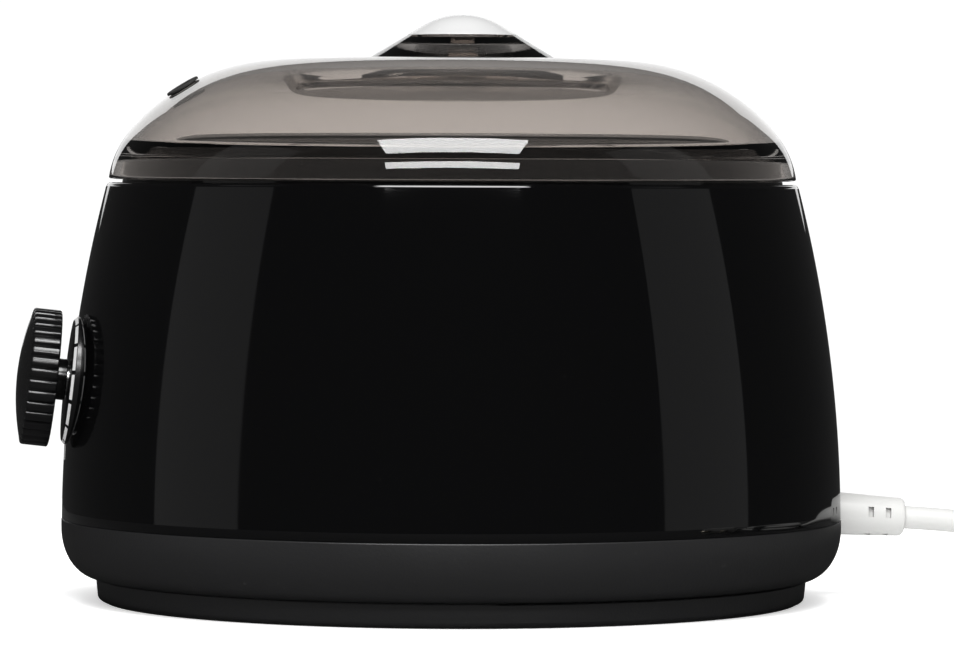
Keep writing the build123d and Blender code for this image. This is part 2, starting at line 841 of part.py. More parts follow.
# Bail: half a hoop of wire whose ends turn in through the lugs
bail_radius = pot_recess_radius - moving_gap - bail_wire_radius
bend_side = sqrt((bail_radius - bail_bend) ** 2 - bail_bend**2)
bend_turn = 90 + degrees(asin(bail_bend / (bail_radius - bail_bend)))
with BuildPart() as bail_handle:
    with BuildLine(Plane.XY.offset(bail_height)):
        tip = pot_inner_radius - lug_depth - bail_wire_radius
        Line((0, tip), (0, bend_side))
        JernArc((0, bend_side), (0, 1), bail_bend, bend_turn)
        CenterArc((0, 0), bail_radius, bend_turn, 360 - 2 * bend_turn)
        JernArc((0, -bend_side), (0, -1), bail_bend, -bend_turn)
        Line((0, -bend_side), (0, -tip))
    with BuildSketch(Plane(origin=(0, tip, bail_height), z_dir=(0, 1, 0))):
        Circle(bail_wire_radius)
    sweep()
keep(bail_handle, "bail_handle")

# Lid: three tangent arcs, a seat rib, a dish with a spigot for the handle and a vent hole
crown_fall, hip_fall = lid_falls()[1:3]
vent_fall = crown_fall + vent_along * (hip_fall - crown_fall)
middle_arc_radius = (lid_hip_radius - lid_crown_radius) / (sin(hip_fall) - sin(crown_fall))
vent_r = lid_crown_radius + middle_arc_radius * (sin(vent_fall) - sin(crown_fall))
vent_z = lid_crown_height - middle_arc_radius * (cos(crown_fall) - cos(vent_fall))
vent_side = radians(180 + vent_azimuth)
vent_frame = Plane(
    origin=(vent_r * cos(vent_side), vent_r * sin(vent_side), vent_z),
    z_dir=(sin(vent_fall) * cos(vent_side), sin(vent_fall) * sin(vent_side), cos(vent_fall)),
)
with BuildPart() as lid_dome:
    with BuildSketch(Plane.XZ):
        with BuildLine():
            outer = lid_arcs(0)
            inner = lid_arcs(lid_wall)
            Line(outer[-1] @ 1, inner[-1] @ 1)
            Line(outer[0] @ 0, inner[0] @ 0)
        make_face()
    revolve(axis=Axis.Z)
    with BuildSketch(Plane.XZ):
        with BuildLine():
            FilletPolyline(
                (lid_rim_radius, lid_top),
                (dish_radius, lid_top),
                (dish_floor_radius, dish_floor),
                (0, dish_floor),
                (0, dish_floor - dish_plate),
                (dish_floor_radius + lid_wall * 0.7, dish_floor - dish_plate),
                (dish_radius + lid_wall * 0.7, lid_top - lid_wall),
                (lid_rim_radius, lid_top - lid_wall),
                radius=(lid_wall / 2, dish_corner, 0, 0, dish_corner, 0),
            )
            Line((lid_rim_radius, lid_top - lid_wall), (lid_rim_radius, lid_top))
        make_face()
    revolve(axis=Axis.Z)
    with BuildSketch(Plane.XY.offset(seat_height)):
        Circle((lid_bottom_radius + lid_hip_radius - lid_wall / 2) / 2)
        Circle(lid_seat_inner, mode=Mode.SUBTRACT)
    extrude(amount=lid_seat_rib)
    with BuildSketch(Plane.XY.offset(dish_floor)):
        with Locations((handle_offset, 0)):
            Circle(spigot_radius)
    extrude(amount=spigot_height)
    with BuildSketch(vent_frame.offset(lid_wall)):
        Circle(vent_radius)
    extrude(amount=-3 * lid_wall, mode=Mode.SUBTRACT)
keep(lid_dome, "lid_dome")

# Rubber grommet in the lid's vent
with BuildPart() as vent_grommet:
    with BuildSketch(vent_frame):
        Circle(grommet_radius)
    extrude(amount=grommet_flange)
    fillet(vent_grommet.edges().filter_by(GeomType.CIRCLE), grommet_flange * 0.4)
    with BuildSketch(vent_frame.offset(grommet_flange / 2)):
        Circle(vent_radius - fit_gap)
    extrude(amount=-(lid_wall + grommet_inner_gap + grommet_flange))
    with BuildSketch(vent_frame.offset(-(lid_wall + grommet_inner_gap))):
        Circle(grommet_radius)
    extrude(amount=-grommet_flange)
    with BuildSketch(vent_frame.offset(grommet_flange)):
        Circle(grommet_bore)
    extrude(amount=-3 * lid_wall, mode=Mode.SUBTRACT)
keep(vent_grommet, "vent_grommet")

# Lid handle: stem and umbrella cap in one, pressed on the spigot, with an insert that closes the bore
slope = radians(handle_slope)
cone_top_r = handle_apex_radius * sin(slope)
cone_top_z = handle_top - handle_apex_radius * (1 - cos(slope))
rim_height = cone_top_z - (handle_cap_radius - cone_top_r) * tan(slope)
rim_under = rim_height - handle_cap_wall / cos(slope)
stem_top = rim_under + (handle_cap_radius - handle_stem_radius) * tan(slope)
handle_bore = spigot_radius + fit_gap
insert_hole = handle_insert_radius + fit_gap
handle_section = Plane(origin=(handle_offset, 0, 0), x_dir=(1, 0, 0), z_dir=(0, -1, 0))
handle_axis = Axis((handle_offset, 0, 0), (0, 0, 1))


def cone_point(r):
    """A point of the handle's sloping top at a radius outside its rounded apex."""
    return (r, cone_top_z - (r - cone_top_r) * tan(slope))


with BuildPart() as lid_handle:
    with BuildSketch(handle_section):
        with BuildLine():
            rim = FilletPolyline(
                (handle_bore, handle_insert_seat),
                (handle_bore, dish_floor),
                (handle_stem_radius, dish_floor),
                (handle_stem_radius, stem_top),
                (handle_cap_radius, rim_under),
                (handle_cap_radius, rim_height),
                cone_point(insert_hole),
                (insert_hole, handle_insert_seat),
                radius=(0, 0, handle_rim_round, handle_rim_round, handle_rim_round, 0),
            )
            Line(rim @ 1, rim @ 0)
        make_face()
    revolve(axis=handle_axis)
keep(lid_handle, "lid_handle")

with BuildPart() as handle_insert:
    with BuildSketch(handle_section):
        with BuildLine():
            edge = FilletPolyline(
                (0, handle_insert_seat),
                (handle_insert_radius, handle_insert_seat),
                cone_point(handle_insert_radius),
                (cone_top_r, cone_top_z),
                radius=(0, handle_insert_round),
            )
            half = slope / 2
            ThreePointArc(
                (cone_top_r, cone_top_z),
                (
                    handle_apex_radius * sin(half),
                    handle_top - handle_apex_radius * (1 - cos(half)),
                ),
                (0, handle_top),
            )
            Line((0, handle_top), edge @ 0)
        make_face()
    revolve(axis=handle_axis)
keep(handle_insert, "handle_insert")

# Strain relief: flange inside the casing, tapered sleeve outside with two rows of slots
exit_section = Plane(origin=exit_frame.origin, x_dir=exit_frame.z_dir, z_dir=(0, -1, 0))
neck_back = -(shell_wall + lip_thickness + fit_gap + 2 * moving_gap)
with BuildPart() as strain_relief:
    with BuildSketch(exit_section):
        with BuildLine():
            FilletPolyline(
                (neck_back - relief_flange, cord_radius),
                (neck_back - relief_flange, relief_flange_radius),
                (neck_back, relief_flange_radius),
                (neck_back, relief_neck_radius),
                (0, relief_neck_radius),
                (0, relief_start_radius),
                (relief_length, relief_end_radius),
                (relief_length, cord_radius),
                radius=(relief_flange / 4, relief_flange / 4, 0, 0, 0, relief_end_round),
            )
            Line((neck_back - relief_flange, cord_radius), (relief_length, cord_radius))
        make_face()
    revolve(axis=Axis(exit_frame.origin, exit_frame.z_dir))
    for row in relief_slot_rows:
        with BuildSketch(exit_frame.offset(row - relief_slot_width / 2)):
            Rectangle(4 * relief_start_radius, relief_slot_span, rotation=relief_slot_turn)
            Rectangle(relief_slot_span, 4 * relief_start_radius, rotation=relief_slot_turn)
            Circle(relief_end_radius - relief_slot_depth, mode=Mode.SUBTRACT)
        extrude(amount=relief_slot_width, mode=Mode.SUBTRACT)
keep(strain_relief, "strain_relief")

# The lead inside the relief and the casing, up to where its cores part
with BuildPart() as cord_inner_end:
    with BuildSketch(exit_frame.offset(-inner_cord_length)):
        Circle(cord_radius)
    extrude(amount=inner_cord_length + relief_length)
keep(cord_inner_end, "cord_inner_end")

clamp_bottom = cord_at_clamp + clamp_grip / 2
with BuildPart() as cord_clamp:
    with BuildSketch(Plane.XY.offset(clamp_bottom)):
        with Locations((clamp_middle, 0)):
            Rectangle(clamp_width, clamp_span)
        with clamp_holes:
            Circle(screw_hole, mode=Mode.SUBTRACT)
    extrude(amount=clamp_height)
    with BuildSketch(exit_frame.offset(-inner_cord_length)):
        Circle(cord_radius)
    extrude(amount=inner_cord_length, mode=Mode.SUBTRACT)
    fillet(cord_clamp.edges().filter_by(Axis.X).group_by(Axis.Z)[-1], clamp_round)
keep(cord_clamp, "cord_clamp")

with BuildPart() as clamp_bar_screws:
    for side in (-1, 1):
        head_spot = (clamp_middle, side * clamp_screw_spacing / 2, clamp_bottom + clamp_height)
        with Locations(Location(head_spot, (180, 0, 0))):
            add(screw(clamp_screw_length))
keep(clamp_bar_screws, "clamp_bar_screws")


# The free lead, its coil, tie and plug
def cord_tube(points):
    """A round tube along a route of straight runs joined by the largest tangent arcs."""
    radii = route_radii(points)
    with BuildPart() as tube:
        with BuildLine():
            path = FilletPolyline(points, radius=radii)
        with BuildSketch(Plane(origin=path @ 0, z_dir=path % 0)):
            Circle(cord_radius)
        sweep()
    print("radii", [round(r, 1) for r in radii], "length", round(path.length, 1))
    plain_volume = path.length * pi * cord_radius**2
    print("volume over section times length", round(tube.part.volume / plain_volume, 4))
    return tube


power_cord = cord_tube([tuple(exit_frame.offset(relief_length).origin)] + lead_route)
keep(power_cord, "power_cord")

coil_bottom = tie_thickness
coil_width = 2 * cord_radius * coil_columns
coil_height = 2 * cord_radius * coil_layers
with BuildPart() as cord_coil:
    with BuildSketch(Plane.XY.offset(coil_bottom)):
        with Locations(coil_centre):
            Circle(coil_mean_radius + coil_width / 2)
            Circle(coil_mean_radius - coil_width / 2, mode=Mode.SUBTRACT)
    extrude(amount=coil_height)
    fillet(cord_coil.edges().filter_by(GeomType.CIRCLE), cord_radius * 0.8)
keep(cord_coil, "cord_coil")

tie_spot = radians(tie_angle)
tie_frame = Plane(
    origin=(
        coil_centre[0] + coil_mean_radius * cos(tie_spot),
        coil_centre[1] + coil_mean_radius * sin(tie_spot),
        coil_bottom + coil_height / 2,
    ),
    x_dir=(cos(tie_spot), sin(tie_spot), 0),
    z_dir=(-sin(tie_spot), cos(tie_spot), 0),
)
with BuildPart() as cord_tie:
    tie_inner_width = coil_width + 4 * moving_gap
    with BuildSketch(tie_frame.offset(-tie_length / 2)):
        Rectangle(tie_inner_width + 2 * tie_thickness, coil_height + 2 * tie_thickness)
        Rectangle(tie_inner_width, coil_height, mode=Mode.SUBTRACT)
    extrude(amount=tie_length)
keep(cord_tie, "cord_tie")

cord_tail = cord_tube(tail_route)
keep(cord_tail, "cord_tail")

plug_frame = Plane(origin=tail_route[-1], x_dir=(0, -1, 0), z_dir=(-1, 0, 0))
body_back = plug_frame.offset(plug_sleeve_length)
shoulder = body_back.offset(plug_taper)
with BuildPart() as plug_body:
    with BuildSketch(body_back):
        RectangleRounded(plug_width * 0.55, plug_thickness * 0.75, 2 * plug_round)
    with BuildSketch(shoulder):
        RectangleRounded(plug_width, plug_thickness, 2 * plug_round)
    loft()
    with BuildSketch(shoulder):
        RectangleRounded(plug_width, plug_thickness, 2 * plug_round)
    extrude(amount=plug_length - plug_taper)
    with BuildSketch(plug_frame):
        Circle(cord_radius + plug_round / 4)
    with BuildSketch(body_back):
        Circle(plug_sleeve_radius)
    loft()
keep(plug_body, "plug_body")

with BuildPart() as plug_blades:
    with BuildSketch(body_back.offset(plug_length)):
        with Locations((blade_spacing / 2, 0), (-blade_spacing / 2, 0)):
            Rectangle(blade_thickness, blade_width)
    extrude(amount=blade_length)
    ends = plug_blades.faces().filter_by(Axis.X).group_by(Axis.X)[0].edges().filter_by(Axis.Y)
    chamfer(ends, blade_thickness)
keep(plug_blades, "plug_blades")

# Terminal block on the cover, with two clamping screws for each pole
block_top = base_bottom + block_height
block_x, block_y = block_centre
pole_spots = Locations(
    *[(block_x + i * pole_run / 2, block_y + j * pole_spacing / 2) for i in (-1, 1) for j in (-1, 1)]
)
with BuildPart() as terminal_block:
    with BuildSketch(Plane.XY.offset(base_bottom)):
        with Locations(block_centre):
            RectangleRounded(block_length, block_width, dial_chamfer)
    extrude(amount=block_height)
    with BuildSketch(Plane.XY.offset(block_top)):
        with pole_spots:
            Circle(terminal_screw_radius + fit_gap)
    extrude(amount=-block_height / 2, mode=Mode.SUBTRACT)
keep(terminal_block, "terminal_block")

with BuildPart() as terminal_screws:
    with BuildSketch(Plane.XY.offset(block_top - block_height / 2)):
        with pole_spots:
            Circle(terminal_screw_radius)
    extrude(amount=block_height / 2 - head_height)
    with BuildSketch(Plane.XY.offset(block_top - head_height)):
        with pole_spots:
            Rectangle(2 * terminal_screw_radius, terminal_screw_radius / 2)
    extrude(amount=-terminal_screw_radius / 2, mode=Mode.SUBTRACT)
keep(terminal_screws, "terminal_screws")


# Internal leads
def lead(*points):
    """An insulated core along a route with equal bends."""
    with BuildPart() as made:
        with BuildLine():
            path = FilletPolyline(points, radius=wire_bend)
        with BuildSketch(Plane(origin=path @ 0, z_dir=path % 0)):
            Circle(wire_radius)
        sweep()
    return made


core_end = exit_frame.offset(-inner_cord_length).origin
core_side = wire_radius + fit_gap
outer_face = block_x + block_length / 2
live_pole = block_y + pole_spacing / 2
neutral_pole = block_y - pole_spacing / 2
entry_height = base_bottom + block_height / 2
turn_x = (core_end.X + outer_face) / 2
live_lead = lead(
    (core_end.X - wire_gap, core_side, core_end.Z),
    (turn_x, core_side, core_end.Z),
    (turn_x, live_pole, entry_height),
    (outer_face, live_pole, entry_height),
)
keep(live_lead, "live_lead")
neutral_lead = lead(
    (core_end.X - wire_gap, -core_side, core_end.Z),
    (turn_x, -core_side, core_end.Z),
    (turn_x, neutral_pole, entry_height),
    (outer_face, neutral_pole, entry_height),
)
keep(neutral_lead, "neutral_lead")

inner_face = block_x - block_length / 2
body_middle = plate_back.offset(-thermostat_depth / 2).origin
body_under = body_middle.Z - (thermostat_height / 2) / cos(dial_tilt)
body_under_x = body_middle.X - thermostat_height / 2 * sin(dial_tilt)
tab_side = thermostat_width / 4
thermostat_lead = lead(
    (inner_face, live_pole, entry_height),
    (inner_face - block_length, live_pole, entry_height),
    (inner_face - 2 * block_length, tab_side, entry_height),
    (body_under_x, tab_side, entry_height),
    (body_under_x, tab_side, body_under - wire_gap),
)
keep(thermostat_lead, "thermostat_lead")
band_middle = (band_inner + band_outer) / 2
band_side = sqrt(band_middle**2 - tab_side**2)
heater_lead = lead(
    (body_under_x, -tab_side, body_under - wire_gap),
    (body_under_x, -tab_side, well_under - 3 * wire_bend),
    (-band_side, -tab_side, well_under - 3 * wire_bend),
    (-band_side, -tab_side, band_bottom),
)
keep(heater_lead, "heater_lead")
fuse_end = fuse_length / 2
fuse_band = sqrt(band_middle**2 - fuse_side**2)
fuse_lead_in = lead(
    (inner_face, neutral_pole, entry_height),
    (inner_face - 2 * wire_bend, neutral_pole, entry_height),
    (inner_face - 2 * wire_bend, -fuse_side, fuse_axis_height),
    (fuse_end, -fuse_side, fuse_axis_height),
)
keep(fuse_lead_in, "fuse_lead_in")
fuse_lead_out = lead(
    (-fuse_end, -fuse_side, fuse_axis_height),
    (-fuse_band, -fuse_side, fuse_axis_height),
    (-fuse_band, -fuse_side, band_bottom),
)
keep(fuse_lead_out, "fuse_lead_out")
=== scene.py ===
"""Looks of a tabletop wax warmer: glossy black casing, smoked clear lid, ribbed knob, white mains lead.

Lengths are written in millimetres and go into the meshes in metres, in the row frame: +Z up, the body's
axis on Z, the control knob towards -X and the lead towards +X.
"""

import json
from math import asin, atan2, cos, pi, radians, sin, sqrt, tan

import bmesh
import bpy
from mathutils import Matrix, Vector


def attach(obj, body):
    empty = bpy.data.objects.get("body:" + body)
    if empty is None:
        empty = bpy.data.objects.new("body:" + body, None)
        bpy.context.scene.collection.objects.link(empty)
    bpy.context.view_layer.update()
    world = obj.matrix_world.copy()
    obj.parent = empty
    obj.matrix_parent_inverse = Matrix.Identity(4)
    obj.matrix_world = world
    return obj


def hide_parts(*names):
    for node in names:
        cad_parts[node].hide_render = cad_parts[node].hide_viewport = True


MM = 0.001
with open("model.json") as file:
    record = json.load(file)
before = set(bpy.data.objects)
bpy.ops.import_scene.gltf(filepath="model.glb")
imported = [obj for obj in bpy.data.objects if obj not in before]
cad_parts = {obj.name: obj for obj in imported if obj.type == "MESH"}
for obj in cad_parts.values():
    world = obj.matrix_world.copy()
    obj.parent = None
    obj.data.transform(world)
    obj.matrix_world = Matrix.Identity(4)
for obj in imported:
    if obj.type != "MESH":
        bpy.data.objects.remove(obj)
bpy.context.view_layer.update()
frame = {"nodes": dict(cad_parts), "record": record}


def new_object(name, data):
    made = bpy.data.objects.new(name, data)
    bpy.context.scene.collection.objects.link(made)
    return made


# ---------------------------------------------------------------- camera and stage

CAMERA_AZIMUTH = radians(-7.0)
CAMERA_DISTANCE = 1.106
CAMERA_HEIGHT = 0.089
CAMERA_PITCH = radians(1.57)
CAMERA_YAW = radians(-0.274)
CAMERA_ROLL = 0.004
LENS = 197.0
SENSOR_WIDTH = 36.0


def make_camera():
    """A long lens level with the top of the casing, a little towards the knob's side."""
    data = bpy.data.cameras.new("camera")
    data.lens, data.sensor_width = LENS, SENSOR_WIDTH
    camera = new_object("camera", data)
    place = Vector((sin(CAMERA_AZIMUTH), -cos(CAMERA_AZIMUTH), 0)) * CAMERA_DISTANCE
    place.z = CAMERA_HEIGHT
    turn = (
        Matrix.Rotation(CAMERA_AZIMUTH + CAMERA_YAW, 4, "Z")
        @ Matrix.Rotation(pi / 2 - CAMERA_PITCH, 4, "X")
        @ Matrix.Rotation(CAMERA_ROLL, 4, "Z")
    )
    camera.matrix_world = Matrix.Translation(place) @ turn
    bpy.context.scene.camera = camera


make_camera()


# ---------------------------------------------------------------- the mains lead's line

CORD_DIAMETER = 5.0
COIL_CENTRE = Vector((168.0, -35.5, 0))
COIL_START = 90.0  # degrees, where the lead comes into the coil
COIL_TURNS = 5.25
POINTS_PER_TURN = 24
RELIEF_END = (97.572, 0.0, 17.072)
LEAD_ROUTE = [
    (112.0, 0.0, 16.2),
    (126.0, -0.4, 13.4),
    (140.0, -1.2, 8.0),
    (154.0, -2.2, 3.6),
]
# turns wound so far, radius of the turn and height of its middle: inwards below, then outwards on top
COIL_WINDING = [
    (0.0, 33.0, 3.3),
    (0.85, 33.0, 3.3),
    (1.0, 27.95, 3.3),
    (1.85, 27.95, 3.3),
    (2.0, 22.9, 3.3),
    (2.62, 22.9, 3.3),
    (2.84, 22.9, 8.4),
    (3.7, 22.9, 8.4),
    (3.85, 27.95, 8.4),
    (4.7, 27.95, 8.4),
    (4.85, 33.0, 8.4),
    (5.25, 33.0, 8.4),
]
TAIL_ROUTE = [
    (201.0, -50.5, 7.2),
    (197.9, -63.1, 5.0),
    (191.0, -74.1, 4.2),
    (180.7, -82.1, 5.4),
    (169.3, -85.8, 7.5),
    (157.3, -85.8, 7.5),
]


def eased(share):
    """0 to 1 with a soft start and a soft end."""
    return share * share * (3 - 2 * share)


def coil_points():
    """The coil's turns, wound clockwise seen from above."""
    points = []
    steps = round(COIL_TURNS * POINTS_PER_TURN)
    for i in range(steps + 1):
        turns = i * COIL_TURNS / steps
        for (t0, r0, z0), (t1, r1, z1) in zip(COIL_WINDING, COIL_WINDING[1:]):
            if turns <= t1 + 1e-9:
                share = eased((turns - t0) / (t1 - t0))
                radius, height = r0 + (r1 - r0) * share, z0 + (z1 - z0) * share
                break
        angle = radians(COIL_START - 360 * turns)
        points.append((COIL_CENTRE.x + radius * cos(angle), COIL_CENTRE.y + radius * sin(angle), height))
    return points


def make_cord():
    route = [RELIEF_END] + LEAD_ROUTE + coil_points() + TAIL_ROUTE
    curve = bpy.data.curves.new("power_lead", "CURVE")
    curve.dimensions = "3D"
    spline = curve.splines.new("NURBS")
    spline.points.add(len(route) - 1)
    for point, place in zip(spline.points, route):
        point.co = (*[value * MM for value in place], 1.0)
    spline.order_u = 3
    spline.use_endpoint_u = True
    spline.resolution_u = 6
    curve.bevel_depth = CORD_DIAMETER / 2 * MM
    curve.bevel_resolution = 5
    curve.use_fill_caps = True
    return new_object("power_lead", curve)


power_lead = make_cord()


# ---------------------------------------------------------------- shader groups


def new_group(name, inputs, outputs):
    group = bpy.data.node_groups.new(name, "ShaderNodeTree")
    for label, default in inputs:
        made = group.interface.new_socket(label, in_out="INPUT", socket_type="NodeSocketFloat")
        made.default_value = default
    for label in outputs:
        group.interface.new_socket(label, in_out="OUTPUT", socket_type="NodeSocketFloat")
    return group, group.nodes.new("NodeGroupInput"), group.nodes.new("NodeGroupOutput")


def math_node(tree, operation, a, b=None):
    node = tree.nodes.new("ShaderNodeMath")
    node.operation = operation
    for socket, value in zip(node.inputs, (a, b)):
        if isinstance(value, (int, float)):
            socket.default_value = value
        elif value is not None:
            tree.links.new(value, socket)
    return node.outputs[0]


def ranged(tree, value, low, high, to_low, to_high):
    node = tree.nodes.new("ShaderNodeMapRange")
    tree.links.new(value, node.inputs["Value"])
    for label, setting in zip(("From Min", "From Max", "To Min", "To Max"), (low, high, to_low, to_high)):
        if isinstance(setting, (int, float)):
            node.inputs[label].default_value = setting
        else:
            tree.links.new(setting, node.inputs[label])
    return node.outputs["Result"]


def object_place(tree):
    return tree.nodes.new("ShaderNodeTexCoord").outputs["Object"]


def noise(tree, scale, detail=2.0, place=None):
    node = tree.nodes.new("ShaderNodeTexNoise")
    tree.links.new(place or object_place(tree), node.inputs["Vector"])
    node.inputs["Detail"].default_value = detail
    if isinstance(scale, (int, float)):
        node.inputs["Scale"].default_value = scale
    else:
        tree.links.new(scale, node.inputs["Scale"])
    return node.outputs["Fac"]


def handling_group():
    """Roughness that drifts with handling, from broad smudges, and a mask of fine dust specks."""
    group, given, result = new_group(
        "handling", [("Polish", 0.06), ("Dull", 0.14), ("Smudge Size", 26.0)], ["Roughness", "Dust"]
    )
    broad = noise(group, given.outputs["Smudge Size"], 3.0)
    smudge = ranged(group, broad, 0.38, 0.72, given.outputs["Polish"], given.outputs["Dull"])
    specks = noise(group, 900.0, 1.0)
    dust = ranged(group, specks, 0.75, 0.85, 0.0, 1.0)
    group.links.new(smudge, result.inputs["Roughness"])
    group.links.new(dust, result.inputs["Dust"])
    return group


def grain_group():
    """A fine moulded grain as a height, with a slower drift under it."""
    group, given, result = new_group("moulded_grain", [("Grain Size", 1600.0), ("Drift", 0.3)], ["Height"])
    fine = noise(group, given.outputs["Grain Size"], 2.0)
    slow = noise(group, 60.0, 1.0)
    drift = math_node(group, "MULTIPLY", slow, given.outputs["Drift"])
    group.links.new(math_node(group, "ADD", fine, drift), result.inputs["Height"])
    return group


def turning_group():
    """Fine turned lines round the Z axis, as on spun metal: they change with radius and height."""
    group, given, result = new_group("turned_lines", [("Pitch", 3200.0)], ["Height", "Mask"])
    split = group.nodes.new("ShaderNodeSeparateXYZ")
    group.links.new(object_place(group), split.inputs[0])
    x_squared = math_node(group, "MULTIPLY", split.outputs["X"], split.outputs["X"])
    y_squared = math_node(group, "MULTIPLY", split.outputs["Y"], split.outputs["Y"])
    radius = math_node(group, "SQRT", math_node(group, "ADD", x_squared, y_squared))
    along = math_node(group, "ADD", radius, split.outputs["Z"])
    joined = group.nodes.new("ShaderNodeCombineXYZ")
    group.links.new(along, joined.inputs["X"])
    lines = noise(group, given.outputs["Pitch"], 2.0, joined.outputs[0])
    group.links.new(lines, result.inputs["Height"])
    group.links.new(ranged(group, lines, 0.3, 0.7, 0.0, 1.0), result.inputs["Mask"])
    return group


HANDLING = handling_group()
GRAIN = grain_group()
TURNING = turning_group()


# ---------------------------------------------------------------- materials


def new_material(name, **sockets):
    """A Principled material with its steady values set on the shader's own sockets."""
    material = bpy.data.materials.new(name)
    material.use_nodes = True
    shader = material.node_tree.nodes["Principled BSDF"]
    for label, value in sockets.items():
        socket = shader.inputs[label.replace("_", " ")]
        socket.default_value = (*value, 1.0) if socket.type == "RGBA" else value
    return material, material.node_tree, shader


def use_group(tree, group, **values):
    node = tree.nodes.new("ShaderNodeGroup")
    node.node_tree = group
    for label, value in values.items():
        node.inputs[label.replace("_", " ")].default_value = value
    return node


def raise_surface(tree, shader, height, strength, distance):
    bump = tree.nodes.new("ShaderNodeBump")
    bump.inputs["Strength"].default_value = strength
    bump.inputs["Distance"].default_value = distance
    tree.links.new(height, bump.inputs["Height"])
    tree.links.new(bump.outputs["Normal"], shader.inputs["Normal"])


def tinted(tree, shader, mask, clean, marked):
    """Base colour that goes from clean to marked with a mask."""
    mix = tree.nodes.new("ShaderNodeMix")
    mix.data_type = "RGBA"
    mix.inputs["A"].default_value = (*clean, 1.0)
    mix.inputs["B"].default_value = (*marked, 1.0)
    tree.links.new(mask, mix.inputs["Factor"])
    tree.links.new(mix.outputs["Result"], shader.inputs["Base Color"])


PLASTIC_IOR = 1.5
ACRYLIC_IOR = 1.49
GRAIN_DEPTH = 0.00012
LINE_DEPTH = 0.00006
MOTTLE_DEPTH = 0.0001
DARK_DUST = (0.02, 0.02, 0.02)


def moulded(name, colour, polish, dull, smudge_size=26.0, grain=0.0, dust=DARK_DUST, **more):
    """Moulded plastic: polish and dull are its roughness where clean and where handled."""
    material, tree, shader = new_material(name, IOR=PLASTIC_IOR, **more)
    marks = use_group(tree, HANDLING, Polish=polish, Dull=dull, Smudge_Size=smudge_size)
    tree.links.new(marks.outputs["Roughness"], shader.inputs["Roughness"])
    tinted(tree, shader, marks.outputs["Dust"], colour, dust)
    if grain:
        height = use_group(tree, GRAIN)
        raise_surface(tree, shader, height.outputs["Height"], grain, GRAIN_DEPTH)
    return material


def turned_metal(name, colour, dark, low, high, strength):
    """Spun or turned metal with fine circular lines."""
    material, tree, shader = new_material(name, Metallic=1.0)
    lines = use_group(tree, TURNING)
    tinted(tree, shader, lines.outputs["Mask"], colour, dark)
    rough = ranged(tree, lines.outputs["Mask"], 0.0, 1.0, low, high)
    tree.links.new(rough, shader.inputs["Roughness"])
    raise_surface(tree, shader, lines.outputs["Height"], strength, LINE_DEPTH)
    return material


def plated_metal(name, colour, dark, polish, dull):
    """Rolled or drawn metal with a slight mottle."""
    material, tree, shader = new_material(name, Metallic=1.0)
    marks = use_group(tree, HANDLING, Polish=polish, Dull=dull, Smudge_Size=90.0)
    tree.links.new(marks.outputs["Roughness"], shader.inputs["Roughness"])
    tinted(tree, shader, noise(tree, 140.0, 3.0), colour, dark)
    height = use_group(tree, GRAIN, Grain_Size=900.0)
    raise_surface(tree, shader, height.outputs["Height"], 0.1, MOTTLE_DEPTH)
    return material


def smoked(name, tint, shade):
    """Smoked clear acrylic, a little darker in faint flow streaks, with handling smears."""
    material, tree, shader = new_material(name, IOR=ACRYLIC_IOR, Transmission_Weight=1.0)
    tinted(tree, shader, noise(tree, 18.0, 2.0), tint, shade)
    marks = use_group(tree, HANDLING, Polish=0.0, Dull=0.035, Smudge_Size=40.0)
    tree.links.new(marks.outputs["Roughness"], shader.inputs["Roughness"])
    return material


GLOSS_BLACK = moulded(
    "gloss_black_casing", (0.0012, 0.0012, 0.0013), 0.03, 0.06, dust=(0.004, 0.004, 0.004)
)
SATIN_BLACK = moulded("satin_black_base", (0.0075, 0.0075, 0.008), 0.4, 0.5, grain=0.35)
DIAL_BLACK = moulded("dial_black", (0.0035, 0.0035, 0.0037), 0.22, 0.32, grain=0.15)
KNOB_BLACK = moulded("knob_black", (0.003, 0.003, 0.0032), 0.16, 0.26, grain=0.1)
RUBBER = moulded("foot_rubber", (0.012, 0.012, 0.012), 0.75, 0.9, grain=0.8)
WHITE_LEAD = moulded(
    "white_lead",
    (0.5, 0.5, 0.49),
    0.34,
    0.46,
    60.0,
    grain=0.12,
    dust=(0.6, 0.59, 0.56),
    Subsurface_Weight=0.06,
    Subsurface_Radius=(0.001, 0.001, 0.001),
)
PHENOLIC = moulded("phenolic_brown", (0.07, 0.035, 0.02), 0.3, 0.5, grain=0.3)
SLEEVING = moulded("glass_sleeving", (0.6, 0.56, 0.48), 0.6, 0.8, grain=0.9)
PRINT_WHITE = moulded("dial_print", (0.42, 0.42, 0.42), 0.4, 0.5)
PALE_INSERT = moulded("pale_insert", (0.45, 0.45, 0.45), 0.22, 0.3, 60.0, dust=(0.6, 0.6, 0.58))
SMOKED_LID = smoked("smoked_lid", (0.70, 0.66, 0.63), (0.67, 0.63, 0.60))
SMOKED_HANDLE = smoked("smoked_handle", (0.72, 0.68, 0.65), (0.69, 0.65, 0.62))
SPUN_ALUMINIUM = turned_metal(
    "spun_aluminium", (0.78, 0.78, 0.79), (0.62, 0.62, 0.63), 0.22, 0.36, 0.35
)
BRIGHT_STEEL = plated_metal("bright_steel", (0.6, 0.6, 0.61), (0.5, 0.5, 0.5), 0.16, 0.3)
HEATER_STEEL = plated_metal("heater_steel", (0.45, 0.44, 0.42), (0.33, 0.3, 0.27), 0.3, 0.5)
NICKEL_BRASS = plated_metal("nickelled_brass", (0.72, 0.67, 0.56), (0.6, 0.54, 0.42), 0.18, 0.32)

